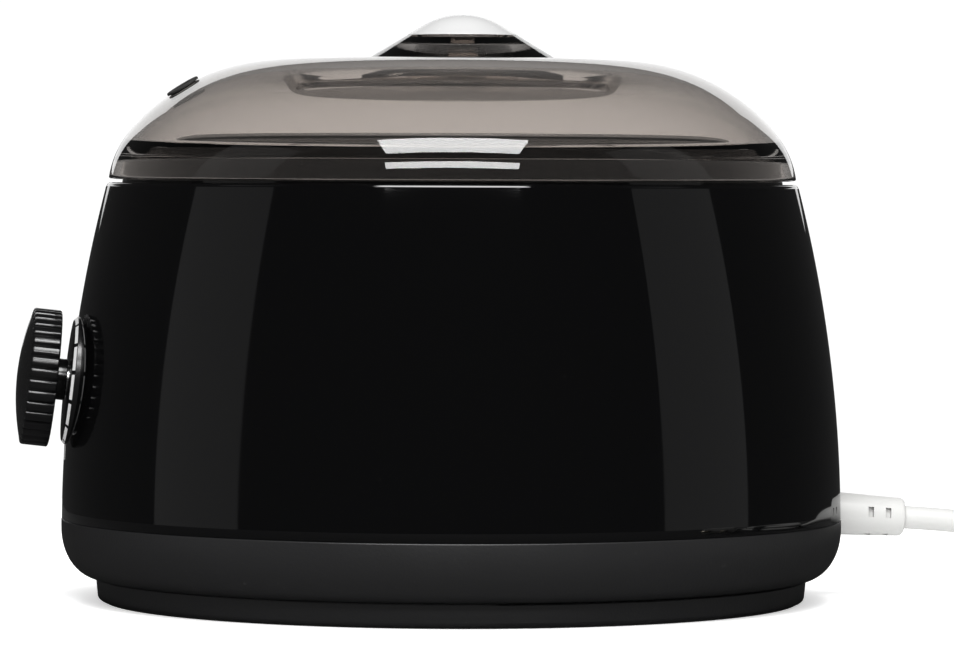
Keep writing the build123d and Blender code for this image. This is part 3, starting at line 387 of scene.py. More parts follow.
SLOT_MATERIALS = {
    "gloss_black": GLOSS_BLACK,
    "satin_black": SATIN_BLACK,
    "knob_black": KNOB_BLACK,
    "smoked_clear": SMOKED_LID,
    "aluminium": SPUN_ALUMINIUM,
    "steel": BRIGHT_STEEL,
    "heater_steel": HEATER_STEEL,
    "phenolic": PHENOLIC,
    "rubber": RUBBER,
    "white_plastic": WHITE_LEAD,
    "brass": NICKEL_BRASS,
    "insulation": SLEEVING,
}


# ---------------------------------------------------------------- mesh helpers

SMOOTH_ANGLE = radians(28)


def add_piece(name, mesh, material, body):
    """Links a finished mesh as a piece of the object: smooth where it curves, crisp at its edges."""
    mesh.materials.clear()
    mesh.materials.append(material)
    for face in mesh.polygons:
        face.use_smooth = True
    mesh.set_sharp_from_angle(angle=SMOOTH_ANGLE)
    piece = new_object(name, mesh)
    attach(piece, body)
    return piece


def arc_points(centre, radius, first, sweep, steps):
    """Points along an arc that starts at the angle first and turns through sweep."""
    angles = [first + sweep * k / steps for k in range(steps + 1)]
    return [(centre.x + radius * cos(angle), centre.y + radius * sin(angle)) for angle in angles]


def circle_centre(a, b, c):
    """The centre of the circle through three points."""
    orders = ((a, b, c), (b, c, a), (c, a, b))
    scale = 2 * (a.x * (b.y - c.y) + b.x * (c.y - a.y) + c.x * (a.y - b.y))
    x = sum(p.length_squared * (q.y - r.y) for p, q, r in orders) / scale
    y = sum(p.length_squared * (r.x - q.x) for p, q, r in orders) / scale
    return Vector((x, y))


def rounded(corners, steps=8):
    """An outline from (r, z) or (r, z, fillet) corners, with each fillet as an arc."""
    line = []
    count = len(corners)
    for i, corner in enumerate(corners):
        here = Vector(corner[:2])
        radius = corner[2] if len(corner) > 2 else 0
        back = (Vector(corners[i - 1][:2]) - here).normalized()
        on = (Vector(corners[(i + 1) % count][:2]) - here).normalized()
        if not radius or abs(back.dot(on)) > 0.9999:
            line.append(tuple(here))
            continue
        half = back.angle(on) / 2
        centre = here + (back + on).normalized() * (radius / sin(half))
        reach = radius / tan(half)
        start, end = here + back * reach, here + on * reach
        first = atan2(start.y - centre.y, start.x - centre.x)
        sweep = atan2(end.y - centre.y, end.x - centre.x) - first
        sweep = (sweep + pi) % (2 * pi) - pi
        line += arc_points(centre, radius, first, sweep, steps)
    return line


def mesh_from(work, name, place=None):
    """Turns finished working geometry into a mesh with its faces outwards, moved to its place."""
    bmesh.ops.recalc_face_normals(work, faces=work.faces)
    if place is not None:
        bmesh.ops.transform(work, matrix=place, verts=work.verts)
    mesh = bpy.data.meshes.new(name)
    work.to_mesh(mesh)
    work.free()
    return mesh


def turned_mesh(name, outline, segments=192, place=None):
    """A closed (r, z) outline turned round Z, in millimetres. Points on the axis close the shape there."""
    work = bmesh.new()
    rings = []
    for r, z in outline:
        if abs(r) < 1e-6:
            rings.append([work.verts.new((0, 0, z * MM))])
            continue
        angles = [2 * pi * k / segments for k in range(segments)]
        rings.append([work.verts.new((r * MM * cos(a), r * MM * sin(a), z * MM)) for a in angles])
    for one, two in zip(rings, rings[1:] + rings[:1]):
        if len(one) == 1 and len(two) == 1:
            continue
        for k in range(segments):
            n = (k + 1) % segments
            corners = [one[k % len(one)], one[n % len(one)], two[n % len(two)], two[k % len(two)]]
            work.faces.new(list(dict.fromkeys(corners)))
    return mesh_from(work, name, place)


def lofted_mesh(name, rings, place=None, endless=False):
    """Closed rings of as many points each, joined in order, with the ends filled or joined to each other."""
    work = bmesh.new()
    made = [[work.verts.new([value * MM for value in point]) for point in ring] for ring in rings]
    count = len(made[0])
    for one, two in zip(made, made[1:] + (made[:1] if endless else [])):
        for k in range(count):
            n = (k + 1) % count
            work.faces.new((one[k], one[n], two[n], two[k]))
    if not endless:
        work.faces.new(made[0])
        work.faces.new(made[-1])
    return mesh_from(work, name, place)


def evaluated_mesh(piece):
    """A plain mesh of an object with its modifiers applied."""
    bpy.context.view_layer.update()
    return bpy.data.meshes.new_from_object(piece.evaluated_get(bpy.context.evaluated_depsgraph_get()))


def cut(mesh, cutters):
    """Takes closed cutter meshes out of a closed mesh."""
    target = new_object("cut_target", mesh)
    helpers = [target]
    for cutter in cutters:
        helper = new_object("cutter", cutter)
        helpers.append(helper)
        modifier = target.modifiers.new("cut", "BOOLEAN")
        modifier.operation, modifier.solver, modifier.object = "DIFFERENCE", "EXACT", helper
    made = evaluated_mesh(target)
    for helper in helpers:
        bpy.data.objects.remove(helper)
    return made


def frame_matrix(origin, z_dir, x_dir):
    """The place of a tilted part: its origin in millimetres and the directions of its own Z and X."""
    z_axis = Vector(z_dir).normalized()
    x_axis = Vector(x_dir).normalized()
    y_axis = z_axis.cross(x_axis)
    turn = Matrix((x_axis, y_axis, z_axis)).transposed().to_4x4()
    return Matrix.Translation(Vector(origin) * MM) @ turn


# ---------------------------------------------------------------- casing

BASE_TOP = 17.5
SHELL_TOP = 88.2
SHELL_BOTTOM_RADIUS = 82.4
SHELL_TOP_RADIUS = 73.0
SHELL_BULGE = 2.2
SHELL_WALL = 2.4
DECK = 2.2
BASE_RADIUS = 82.5
BASE_SHOULDER = 15.5
BASE_BOTTOM = 5.2
FOOT_RADIUS = 75.2
BASE_CURVE_STEPS = 24
SEAM_ROUND = 0.3
EDGE_ROUND = 0.8
EDGE_LEAN = 0.08  # how far the side still leans out where its top edge starts to round
EDGE_STEPS = 8
SIDE_STEPS = 40
BODY_SEGMENTS = 256
# the base ring's inside, from its lip behind the seam down to the flange
BASE_INSIDE = [(79.8, 20.5), (78.4, 20.5), (78.4, 15.5), (79.5, 12.5), (79.5, 10.4), (76.5, 7.4), (60.0, 7.4)]
BASE_LIP_RADIUS = 79.9
BASE_FLANGE_RADIUS = 60.0
RING_OPENING = 56.7
DECK_STEP = 2.3  # from the ring's opening to the deck's
RING_CROWN = ((68.0, 93.0), (64.9, 95.5), (58.5, 97.0))  # three points of its arc, from the seat inwards
RING_CROWN_STEPS = 16
RING_SEAT = [(69.3, 92.7), (69.0, 93.0)]
RING_FOOT_OUTER, RING_FOOT_INNER = 69.8, 67.8
RING_MOUTH = [(57.0, 97.0), (RING_OPENING, 96.7), (RING_OPENING, 86.3)]
RING_UNDER = [(58.7, 86.3), (58.7, 95.0), (65.6, 91.6)]

# the casing's side is one arc in section: its radius and its centre
side_width, side_height = SHELL_BOTTOM_RADIUS - SHELL_TOP_RADIUS, SHELL_TOP - BASE_TOP
chord = sqrt(side_width**2 + side_height**2)
ARC_RADIUS = (chord**2 / 4 + SHELL_BULGE**2) / (2 * SHELL_BULGE)
ARC_R = (SHELL_BOTTOM_RADIUS + SHELL_TOP_RADIUS) / 2 - (ARC_RADIUS - SHELL_BULGE) * side_height / chord
ARC_Z = (SHELL_TOP + BASE_TOP) / 2 - (ARC_RADIUS - SHELL_BULGE) * side_width / chord


def casing_radius(height, inset=0.0):
    """The casing's radius at a height, on its skin or some way inside it."""
    return ARC_R + sqrt((ARC_RADIUS - inset) ** 2 - (height - ARC_Z) ** 2)


DIAL_HEIGHT = 46.6
DIAL_RADIUS = 13.5
DIAL_PROUD = 0.65
DIAL_RECESS = 1.3
DIAL_FIT = 0.1  # the dial's pocket is wider than its plate by this
BUSH_HOLE = 4.3
dial_tilt = asin((DIAL_HEIGHT - ARC_Z) / ARC_RADIUS)
DIAL_FRAME = frame_matrix(
    (-casing_radius(DIAL_HEIGHT), 0, DIAL_HEIGHT), (-cos(dial_tilt), 0, sin(dial_tilt)), (0, -1, 0)
)
EXIT_HEIGHT = 18.0
EXIT_DROOP = radians(3.5)
EXIT_FRAME = frame_matrix(
    (SHELL_BOTTOM_RADIUS, 0, EXIT_HEIGHT), (cos(EXIT_DROOP), 0, -sin(EXIT_DROOP)), (0, 1, 0)
)
RELIEF_HOLE = 4.7
MOUTH_REACH = 9  # the lead's hole is cut this far each way from the casing's skin
CUT_ABOVE = 6
BUSH_DEPTH = 8
CUTTER_SEGMENTS = 96


def plain_rod(name, radius, low, high, place):
    """A closed round cutter along a tilted part's own axis."""
    return turned_mesh(name, [(0, low), (radius, low), (radius, high), (0, high)], CUTTER_SEGMENTS, place)


def lead_mouth():
    return plain_rod("lead_mouth", RELIEF_HOLE, -MOUTH_REACH, MOUTH_REACH, EXIT_FRAME)


def make_casing():
    rise = SHELL_TOP - EDGE_ROUND - BASE_TOP - SEAM_ROUND
    heights = [BASE_TOP + SEAM_ROUND + rise * i / SIDE_STEPS for i in range(SIDE_STEPS + 1)]
    seam = casing_radius(BASE_TOP)
    edge, brow = casing_radius(SHELL_TOP) - EDGE_ROUND, SHELL_TOP - EDGE_ROUND
    outline = [(seam - SEAM_ROUND, BASE_TOP), (seam - 0.3 * SEAM_ROUND, BASE_TOP + 0.3 * SEAM_ROUND)]
    outline += [(casing_radius(z), z) for z in heights]
    for k in range(1, EDGE_STEPS + 1):
        angle = radians(90 * k / EDGE_STEPS)
        lean = EDGE_LEAN * (1 - k / EDGE_STEPS)
        outline.append((edge + EDGE_ROUND * cos(angle) + lean, brow + EDGE_ROUND * sin(angle)))
    deck = RING_OPENING + DECK_STEP
    outline += [(deck, SHELL_TOP), (deck, SHELL_TOP - DECK)]
    outline += [(casing_radius(z, SHELL_WALL), z) for z in (SHELL_TOP - DECK, 65.0, 40.0, BASE_TOP)]
    mesh = turned_mesh("upper_casing", outline, BODY_SEGMENTS)
    pocket = plain_rod("dial_pocket", DIAL_RADIUS + DIAL_FIT, -DIAL_RECESS, CUT_ABOVE, DIAL_FRAME)
    bush = plain_rod("bush_hole", BUSH_HOLE, -BUSH_DEPTH, CUT_ABOVE, DIAL_FRAME)
    casing = cut(mesh, [pocket, bush, lead_mouth()])
    piece = add_piece("upper_casing", casing, GLOSS_BLACK, "root")
    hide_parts("outer_shell")


def make_base_ring():
    """The lower casing ring: its side rounds under as a quarter ellipse."""
    depth, width = BASE_SHOULDER - BASE_BOTTOM, BASE_RADIUS - FOOT_RADIUS
    angles = [radians(90 * k / BASE_CURVE_STEPS) for k in range(BASE_CURVE_STEPS + 1)]
    outline = [(FOOT_RADIUS + width * sin(angle), BASE_SHOULDER - depth * cos(angle)) for angle in angles]
    lip = (BASE_LIP_RADIUS, BASE_TOP)
    outline += rounded([(BASE_RADIUS, BASE_SHOULDER), (BASE_RADIUS, BASE_TOP, SEAM_ROUND), lip], 6)[1:-1]
    outline += [lip] + BASE_INSIDE + [(BASE_FLANGE_RADIUS, BASE_BOTTOM)]
    mesh = turned_mesh("base_band", outline, BODY_SEGMENTS)
    piece = add_piece("base_band", cut(mesh, [lead_mouth()]), SATIN_BLACK, "root")
    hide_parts("base_ring")


def make_shoulder_ring():
    """The glossy ring under the lid: a rounded crown from the pot's opening down to the lid's seat."""
    start, middle, end = [Vector(point) for point in RING_CROWN]
    centre = circle_centre(start, middle, end)
    first = atan2(start.y - centre.y, start.x - centre.x)
    sweep = atan2(end.y - centre.y, end.x - centre.x) - first
    crown = arc_points(centre, (start - centre).length, first, sweep, RING_CROWN_STEPS)
    outline = [(RING_FOOT_OUTER, SHELL_TOP)] + RING_SEAT + crown
    outline += RING_MOUTH + RING_UNDER + [(RING_FOOT_INNER, SHELL_TOP)]
    mesh = turned_mesh("shoulder_ring", outline, BODY_SEGMENTS)
    piece = add_piece("shoulder_ring", mesh, GLOSS_BLACK, "root")
    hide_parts("top_ring")


make_casing()
make_base_ring()
make_shoulder_ring()


# ---------------------------------------------------------------- dial and knob

KNOB_RADIUS = 14.4
KNOB_RIM = 5.7
KNOB_DOME = 2.2
KNOB_LIFT = 2.7
KNOB_RIBS = 36
POINTS_PER_RIB = 14
GROOVE_DEPTH = 0.62
GROOVE_SHARPNESS = 2.2
KNOB_SHOULDER = 14.25
KNOB_FACE = 13.9
KNOB_SLOPE = 13.1
KNOB_BACK_RECESS = 0.4
DOME_ROWS = (12.0, 10.0, 8.0, 6.0, 4.0, 2.0, 0.8)
HUB_INNER, HUB_OUTER = 3.05, 4.35
HUB_BACK = 1.0
HUB_OVERLAP = 0.6
POINTER_HALF_WIDTH = 0.6
POINTER_INNER, POINTER_OUTER = 5.6, 12.4
POINTER_PROUD = 0.05
POINTER_DEPTH = 0.4
POINTER_STEPS = 12
DIAL_HOLE = 3.3
DIAL_BEVEL = 0.8
DIAL_SWEEP = 270.0
DIAL_MARKS = 10
DASH_GAP = 4.0  # degrees left free between two dashes
DASH_STEPS = 10
DASH_SECTION = [(13.38, -0.05), (12.86, 0.48), (12.91, 0.53), (13.43, 0.0)]
MARK_BARS = 4
MARK_START = -2.6
MARK_PITCH = 1.5
MARK_WIDTH = 0.8
MARK_FOOT = 30.0
MARK_FIRST_HEIGHT, MARK_RISE = 0.9, 0.8
MARK_PROUD = 0.015
MARK_THICKNESS = 0.1


def repeat_tree():
    """A node group that repeats an object round the Z axis, one step angle apart, as real geometry."""
    tree = bpy.data.node_groups.new("round_a_circle", "GeometryNodeTree")
    for label, kind, default in (
        ("Count", "NodeSocketInt", 10),
        ("First Angle", "NodeSocketFloat", 0.0),
        ("Step Angle", "NodeSocketFloat", 0.1),
    ):
        tree.interface.new_socket(label, in_out="INPUT", socket_type=kind).default_value = default
    tree.interface.new_socket("Copied", in_out="INPUT", socket_type="NodeSocketObject")
    tree.interface.new_socket("Finish", in_out="INPUT", socket_type="NodeSocketMaterial")
    tree.interface.new_socket("Geometry", in_out="OUTPUT", socket_type="NodeSocketGeometry")
    nodes, links = tree.nodes, tree.links
    given, result = nodes.new("NodeGroupInput"), nodes.new("NodeGroupOutput")
    points = nodes.new("GeometryNodePoints")
    links.new(given.outputs["Count"], points.inputs["Count"])
    index = nodes.new("GeometryNodeInputIndex")
    along = math_node(tree, "MULTIPLY", index.outputs[0], given.outputs["Step Angle"])
    angle = math_node(tree, "ADD", along, given.outputs["First Angle"])
    turn = nodes.new("ShaderNodeCombineXYZ")
    links.new(angle, turn.inputs["Z"])
    source = nodes.new("GeometryNodeObjectInfo")
    links.new(given.outputs["Copied"], source.inputs["Object"])
    copies = nodes.new("GeometryNodeInstanceOnPoints")
    links.new(points.outputs[0], copies.inputs["Points"])
    links.new(source.outputs["Geometry"], copies.inputs["Instance"])
    links.new(turn.outputs[0], copies.inputs["Rotation"])
    joined = nodes.new("GeometryNodeRealizeInstances")
    links.new(copies.outputs[0], joined.inputs[0])
    finish = nodes.new("GeometryNodeSetMaterial")
    links.new(joined.outputs[0], finish.inputs["Geometry"])
    links.new(given.outputs["Finish"], finish.inputs["Material"])
    links.new(finish.outputs[0], result.inputs["Geometry"])
    return tree


ROUND_A_CIRCLE = repeat_tree()


def repeated_mesh(name, one, count, first, step, material, place):
    """One small mesh repeated round its own Z axis, as a plain mesh moved to its place."""
    original, host = new_object("one_copy", one), new_object("copies", bpy.data.meshes.new("copies"))
    modifier = host.modifiers.new("copies", "NODES")
    modifier.node_group = ROUND_A_CIRCLE
    settings = {"Count": count, "First Angle": first, "Step Angle": step, "Copied": original}
    settings["Finish"] = material
    for item in ROUND_A_CIRCLE.interface.items_tree:
        if item.name in settings:
            modifier[item.identifier] = settings[item.name]
    made = evaluated_mesh(host)
    made.name = name
    for helper in (original, host):
        bpy.data.objects.remove(helper)
    made.transform(place)
    return made


def make_dial():
    """The dial plate, and its printed scale: dashes that run clockwise round the bevel from the top."""
    edge = [
        (DIAL_RADIUS, -DIAL_RECESS),
        (DIAL_RADIUS, DIAL_PROUD - DIAL_BEVEL, 0.12),
        (DIAL_RADIUS - DIAL_BEVEL, DIAL_PROUD, 0.12),
        (DIAL_HOLE, DIAL_PROUD),
    ]
    outline = [(DIAL_HOLE, -DIAL_RECESS), (DIAL_RADIUS, -DIAL_RECESS)] + rounded(edge, 3)[1:-1]
    outline += [(DIAL_HOLE + 0.3, DIAL_PROUD), (DIAL_HOLE, DIAL_PROUD - 0.3)]
    mesh = turned_mesh("dial_disc", outline, 160, DIAL_FRAME)
    plate = add_piece("dial_disc", mesh, DIAL_BLACK, "root")
    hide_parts("dial_plate")

    step = DIAL_SWEEP / DIAL_MARKS
    rings = []
    for k in range(DASH_STEPS + 1):
        angle = -radians(step - DASH_GAP) * k / DASH_STEPS
        rings.append([(r * cos(angle), r * sin(angle), z) for r, z in DASH_SECTION])
    dash = lofted_mesh("dash", rings)
    first = radians(90 - DASH_GAP / 2)
    marks = repeated_mesh("dial_scale", dash, DIAL_MARKS, first, -radians(step), PRINT_WHITE, DIAL_FRAME)
    add_piece("dial_scale", marks, PRINT_WHITE, "root")


def make_heat_mark():
    """A small printed wedge of bars under the dial, on the casing's skin: it reads as less to more."""
    work = bmesh.new()
    for i in range(MARK_BARS):
        left = MARK_START + MARK_PITCH * i
        right = left + MARK_WIDTH
        top = MARK_FOOT + (MARK_FIRST_HEIGHT + MARK_RISE * i)
        corners = []
        for s, z in ((left, MARK_FOOT), (right, MARK_FOOT), (right, top), (left, top)):
            r = casing_radius(z) + MARK_PROUD
            corners.append(work.verts.new((-sqrt(r * r - s * s) * MM, -s * MM, z * MM)))
        work.faces.new(corners)
    shape = bmesh.ops.extrude_face_region(work, geom=work.faces[:])
    for item in shape["geom"]:
        if isinstance(item, bmesh.types.BMVert):
            item.co.x += MARK_THICKNESS * MM
    add_piece("heat_mark", mesh_from(work, "heat_mark"), PRINT_WHITE, "root")


def knob_ring(radius, height, depth, segments):
    """A ring of the knob's ribbed side: broad ribs with a narrow groove of that depth between them."""
    ring = []
    for k in range(segments):
        angle = 2 * pi * k / segments
        groove = (1 - abs(sin(KNOB_RIBS * angle / 2))) ** GROOVE_SHARPNESS
        r = radius - depth * groove
        ring.append((r * cos(angle), r * sin(angle), height))
    return ring


def make_knob():
    """The ribbed knob with its low domed face, the hub behind it and its pointer line."""
    back = DIAL_PROUD + KNOB_LIFT
    front = back + KNOB_RIM
    dome = (KNOB_RADIUS**2 + KNOB_DOME**2) / (2 * KNOB_DOME)

    def dome_height(r):
        return front + KNOB_DOME - dome + sqrt(dome**2 - r**2)

    # radius, height and the share of the groove's depth, from the back's recess over the rim to the face
    rows = [
        (3.1, back + KNOB_BACK_RECESS, 0),
        (11.2, back + KNOB_BACK_RECESS, 0),
        (11.6, back, 0),
        (KNOB_FACE, back, 0.5),
        (KNOB_SHOULDER, back + 0.1, 0.9),
        (KNOB_RADIUS, back + 0.35, 1),
        (KNOB_RADIUS, front - 0.3, 1),
        (KNOB_SHOULDER, front + 0.05, 0.85),
        (KNOB_FACE, front + 0.22, 0.6),
        (KNOB_SLOPE + 0.35, dome_height(KNOB_SLOPE) - 0.06, 0.25),
        (KNOB_SLOPE, dome_height(KNOB_SLOPE), 0),
    ]
    rows += [(r, dome_height(r), 0) for r in DOME_ROWS]
    rings = [knob_ring(r, z, GROOVE_DEPTH * share, KNOB_RIBS * POINTS_PER_RIB) for r, z, share in rows]
    mesh = lofted_mesh("ribbed_knob", rings, DIAL_FRAME)
    knob = add_piece("ribbed_knob", mesh, KNOB_BLACK, "knob")
    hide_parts("control_knob")

    hub_front = back + HUB_OVERLAP
    hub = [(HUB_INNER, HUB_BACK), (HUB_OUTER, HUB_BACK, 0.2), (HUB_OUTER, hub_front), (HUB_INNER, hub_front)]
    mesh = turned_mesh("knob_hub", rounded(hub, 4), 96, DIAL_FRAME)
    add_piece("knob_hub", mesh, KNOB_BLACK, "knob")

    # the pointer follows the dome and has rounded ends
    middle = (POINTER_INNER + POINTER_OUTER) / 2
    straight = (POINTER_OUTER - POINTER_INNER) / 2 - POINTER_HALF_WIDTH
    rings = []
    for k in range(POINTER_STEPS + 1):
        y = POINTER_INNER + (POINTER_OUTER - POINTER_INNER) * k / POINTER_STEPS
        past = max(0.0, abs(y - middle) - straight) / POINTER_HALF_WIDTH
        w = max(POINTER_HALF_WIDTH * sqrt(max(0.0, 1 - past**2)), 0.05)
        top = dome_height(y) + POINTER_PROUD
        foot = top - POINTER_DEPTH
        rings.append([(-w, y, foot), (w, y, foot), (w, y, top), (-w, y, top)])
    mesh = lofted_mesh("knob_pointer", rings, DIAL_FRAME)
    add_piece("knob_pointer", mesh, PRINT_WHITE, "knob")


make_dial()
make_heat_mark()
make_knob()


# ---------------------------------------------------------------- lid

LID_POINTS = [(36.2, 114.2), (54.6, 109.85), (68.4, 98.8), (72.65, 89.1)]
LID_STEPS = (14, 24, 12)
LID_WALL = 2.0
LID_RIB = [(69.4, 93.0), (68.5, 93.0), (68.5, 94.8), (69.05, 95.0)]  # rests on the shoulder ring's land
RIB_LOW, RIB_HIGH = 93.4, 95.2
DISH_RADIUS = 35.2
DISH_FLOOR_RADIUS = 32.6
DISH_FLOOR = 109.9
DISH_PLATE = 1.4
VENT_ALONG = 0.2
VENT_AZIMUTH = radians(185.0)
VENT_HOLE = 2.9
GROMMET = [
    (2.2, 0.6, 0.2),
    (3.7, 0.6, 0.25),
    (3.7, 0.05, 0.1),
    (2.8, 0.0),
    (2.8, -2.3),
    (3.7, -2.3, 0.1),
    (3.7, -2.9, 0.2),
    (2.2, -2.9, 0.2),
]
HANDLE_OFFSET = 2.0


def lid_falls():
    """How steeply the lid's section falls at each of its points, level at the first."""
    falls = [0.0]
    for (r0, z0), (r1, z1) in zip(LID_POINTS, LID_POINTS[1:]):
        falls.append(2 * atan2(z0 - z1, r1 - r0) - falls[-1])
    return falls


LID_FALLS = lid_falls()


def lid_point(arc, share, inset=0.0):
    """A point part of the way along one of the three arcs of the lid's section, and its fall there."""
    (r0, z0), (r1, _) = LID_POINTS[arc], LID_POINTS[arc + 1]
    f0, f1 = LID_FALLS[arc], LID_FALLS[arc + 1]
    radius = (r1 - r0) / (sin(f1) - sin(f0))
    fall = f0 + (f1 - f0) * share
    r = r0 + radius * (sin(fall) - sin(f0)) - inset * sin(fall)
    z = z0 - radius * (cos(f0) - cos(fall)) - inset * cos(fall)
    return (r, z), fall


def lid_side(inset):
    """The lid's section from the dish out to its rim, on the skin or some way inside it."""
    line = [lid_point(0, 0.0, inset)[0]]
    for arc, steps in enumerate(LID_STEPS):
        line += [lid_point(arc, k / steps, inset)[0] for k in range(1, steps + 1)]
    return line


def make_lid():
    """The clear lid: a dish in the middle, three arcs down to the rim and an inner rib that it rests on."""
    outer, inner = lid_side(0.0), lid_side(LID_WALL)
    rim = rounded([outer[-2], (*outer[-1], 0.35), (*inner[-1], 0.25), inner[-2]], 4)[1:-1]
    under = [p for p in inner[:-1] if p[1] > RIB_HIGH] + list(reversed(LID_RIB))
    under += [p for p in inner[:-1] if p[1] < RIB_LOW]
    dish = rounded(
        [
            LID_POINTS[0],
            (DISH_RADIUS, LID_POINTS[0][1], 0.9),
            (DISH_FLOOR_RADIUS, DISH_FLOOR, 2.4),
            (0, DISH_FLOOR),
            (0, DISH_FLOOR - DISH_PLATE),
            (DISH_FLOOR_RADIUS + 1.4, DISH_FLOOR - DISH_PLATE, 2.4),
            (DISH_RADIUS + 1.4, LID_POINTS[0][1] - LID_WALL),
        ],
        10,
    )
    outline = under + list(reversed(outer[:-1] + rim)) + dish[1:-1]
    mesh = turned_mesh("lid_shell", outline, BODY_SEGMENTS)
    (vent_r, vent_z), vent_fall = lid_point(1, VENT_ALONG)
    away = Vector((cos(VENT_AZIMUTH), sin(VENT_AZIMUTH), 0))
    up = Vector((0, 0, 1))
    level = Vector((-sin(VENT_AZIMUTH), cos(VENT_AZIMUTH), 0))
    vent = frame_matrix(away * vent_r + up * vent_z, away * sin(vent_fall) + up * cos(vent_fall), level)
    hole = plain_rod("vent_hole", VENT_HOLE, -6, 3, vent)
    lid = add_piece("lid_shell", cut(mesh, [hole]), SMOKED_LID, "lid")
    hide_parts("lid_dome")

    mesh = turned_mesh("vent_ring", rounded(GROMMET, 4), 72, vent)
    piece = add_piece("vent_ring", mesh, RUBBER, "lid")
    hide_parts("vent_grommet")


HANDLE_TOP = 124.0
HANDLE_APEX = 16.0
HANDLE_SLOPE = radians(31.0)
HANDLE_CAP = 21.6
HANDLE_STEM = 11.8
HANDLE_WALL = 2.2
HANDLE_BORE = 3.4
HANDLE_SEGMENTS = 192
INSERT_RADIUS = 11.6
INSERT_SEAT = 118.2
INSERT_FIT = 0.1
INSERT_ROWS = (11.25, 10.0, 9.0, 8.0, 7.0, 6.0, 5.0, 4.0, 3.0, 2.0, 1.0, 0)
SPIGOT_RADIUS = 3.3
SPIGOT_TOP = 116.9
SPIGOT_LIFT = 0.02


def handle_top(r):
    """Height of the handle's top surface: a rounded apex that runs into a cone."""
    edge = HANDLE_APEX * sin(HANDLE_SLOPE)
    if r < edge:
        return HANDLE_TOP - HANDLE_APEX + sqrt(HANDLE_APEX**2 - r * r)
    return HANDLE_TOP - HANDLE_APEX * (1 - cos(HANDLE_SLOPE)) - (r - edge) * tan(HANDLE_SLOPE)


def make_handle():
    """The lid's knob: a clear cone on a stem, with a pale button over its bore and a spigot in its stem."""
    place = Matrix.Translation((HANDLE_OFFSET * MM, 0, 0))
    rim = handle_top(HANDLE_CAP)
    under = rim - HANDLE_WALL / cos(HANDLE_SLOPE)
    stem_top = under + (HANDLE_CAP - HANDLE_STEM) * tan(HANDLE_SLOPE)
    seat_radius = INSERT_RADIUS + INSERT_FIT
    outline = rounded(
        [
            (HANDLE_BORE, INSERT_SEAT, 0.3),
            (HANDLE_BORE, DISH_FLOOR),
            (HANDLE_STEM, DISH_FLOOR),
            (HANDLE_STEM, stem_top, 1.0),
            (HANDLE_CAP, under, 0.7),
            (HANDLE_CAP, rim, 0.7),
            (seat_radius, handle_top(seat_radius), 0.15),
            (seat_radius, INSERT_SEAT, 0.2),
        ]
    )
    mesh = turned_mesh("lid_knob", outline, HANDLE_SEGMENTS, place)
    handle = add_piece("lid_knob", mesh, SMOKED_HANDLE, "lid")
    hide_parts("lid_handle")

    top = [(r, handle_top(r)) for r in INSERT_ROWS]
    corner = (INSERT_RADIUS, handle_top(INSERT_RADIUS), 0.3)
    edge = rounded([(0, INSERT_SEAT), (INSERT_RADIUS, INSERT_SEAT, 0.1), corner, top[0]], 6)
    mesh = turned_mesh("handle_button", edge[:-1] + top, HANDLE_SEGMENTS, place)
    button = add_piece("handle_button", mesh, PALE_INSERT, "lid")
    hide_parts("handle_insert")

    foot = DISH_FLOOR + SPIGOT_LIFT
    spigot = rounded([(0, SPIGOT_TOP), (SPIGOT_RADIUS, SPIGOT_TOP, 0.4), (SPIGOT_RADIUS, foot), (0, foot)], 4)
    mesh = turned_mesh("handle_spigot", spigot, 64, place)
    add_piece("handle_spigot", mesh, SMOKED_HANDLE, "lid")


make_lid()
make_handle()


# ---------------------------------------------------------------- pot

POT_RADIUS = 52.0
POT_WALL = 1.2
POT_BOTTOM = 36.3
POT_LEDGE = 92.4
POT_TOP = 98.1
POT_FLOOR = 37.8
RECESS_RADIUS = 55.2
LIP_RADIUS = 58.6
LIP_UNDER = 97.3


def make_pot():
    """The spun pot: a rounded floor, a ledge for the bail and a rolled lip."""
    outer, recess_outer = POT_RADIUS + POT_WALL, RECESS_RADIUS + POT_WALL
    outline = rounded(
        [
            (0, POT_BOTTOM),
            (outer, POT_BOTTOM, 5.0),
            (outer, POT_LEDGE - POT_WALL),
            (recess_outer, POT_LEDGE - POT_WALL, 0.6),
            (recess_outer, LIP_UNDER),
            (LIP_RADIUS, LIP_UNDER, 0.35),
            (LIP_RADIUS, POT_TOP, 0.35),
            (RECESS_RADIUS, POT_TOP, 0.5),
            (RECESS_RADIUS, POT_LEDGE, 0.5),
            (POT_RADIUS, POT_LEDGE, 0.6),
            (POT_RADIUS, POT_FLOOR, 3.8),
            (0, POT_FLOOR),
        ]
    )
    mesh = turned_mesh("lift_out_pot", outline, BODY_SEGMENTS)
    pot = add_piece("lift_out_pot", mesh, SPUN_ALUMINIUM, "pot")
    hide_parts("inner_pot")


make_pot()


# ---------------------------------------------------------------- strain relief, plug and tie

RELIEF_LENGTH = 15.2
RELIEF_SLOT_ROWS = (7.4, 11.2)
RELIEF_SLOT_TURN = radians(-13.0)
RELIEF_BORE = CORD_DIAMETER / 2
FLANGE_RADIUS = 6.4
FLANGE_BACK, FLANGE_FRONT = -6.6, -4.6
NECK_RADIUS = 4.4
SLEEVE_START_RADIUS, SLEEVE_END_RADIUS = 4.6, 4.05
SLOTS_PER_ROW = 4
SLOT_HALF_WIDTH, SLOT_HALF_LENGTH = 1.1, 0.6
SLOT_FLOOR, SLOT_REACH = 3.15, 6.0
COIL_MEAN_RADIUS = 28.0
TIE_ANGLE = radians(215.0)
TIE_MIDDLE = 5.8
TIE_HALF_WIDTH = 3.7
TIE_EDGE = 0.3  # each edge of the band slants out by this towards the coil
TIE_OUTER = (17.8, 11.6, 2.6)
TIE_INNER = (16.2, 10.0, 1.8)
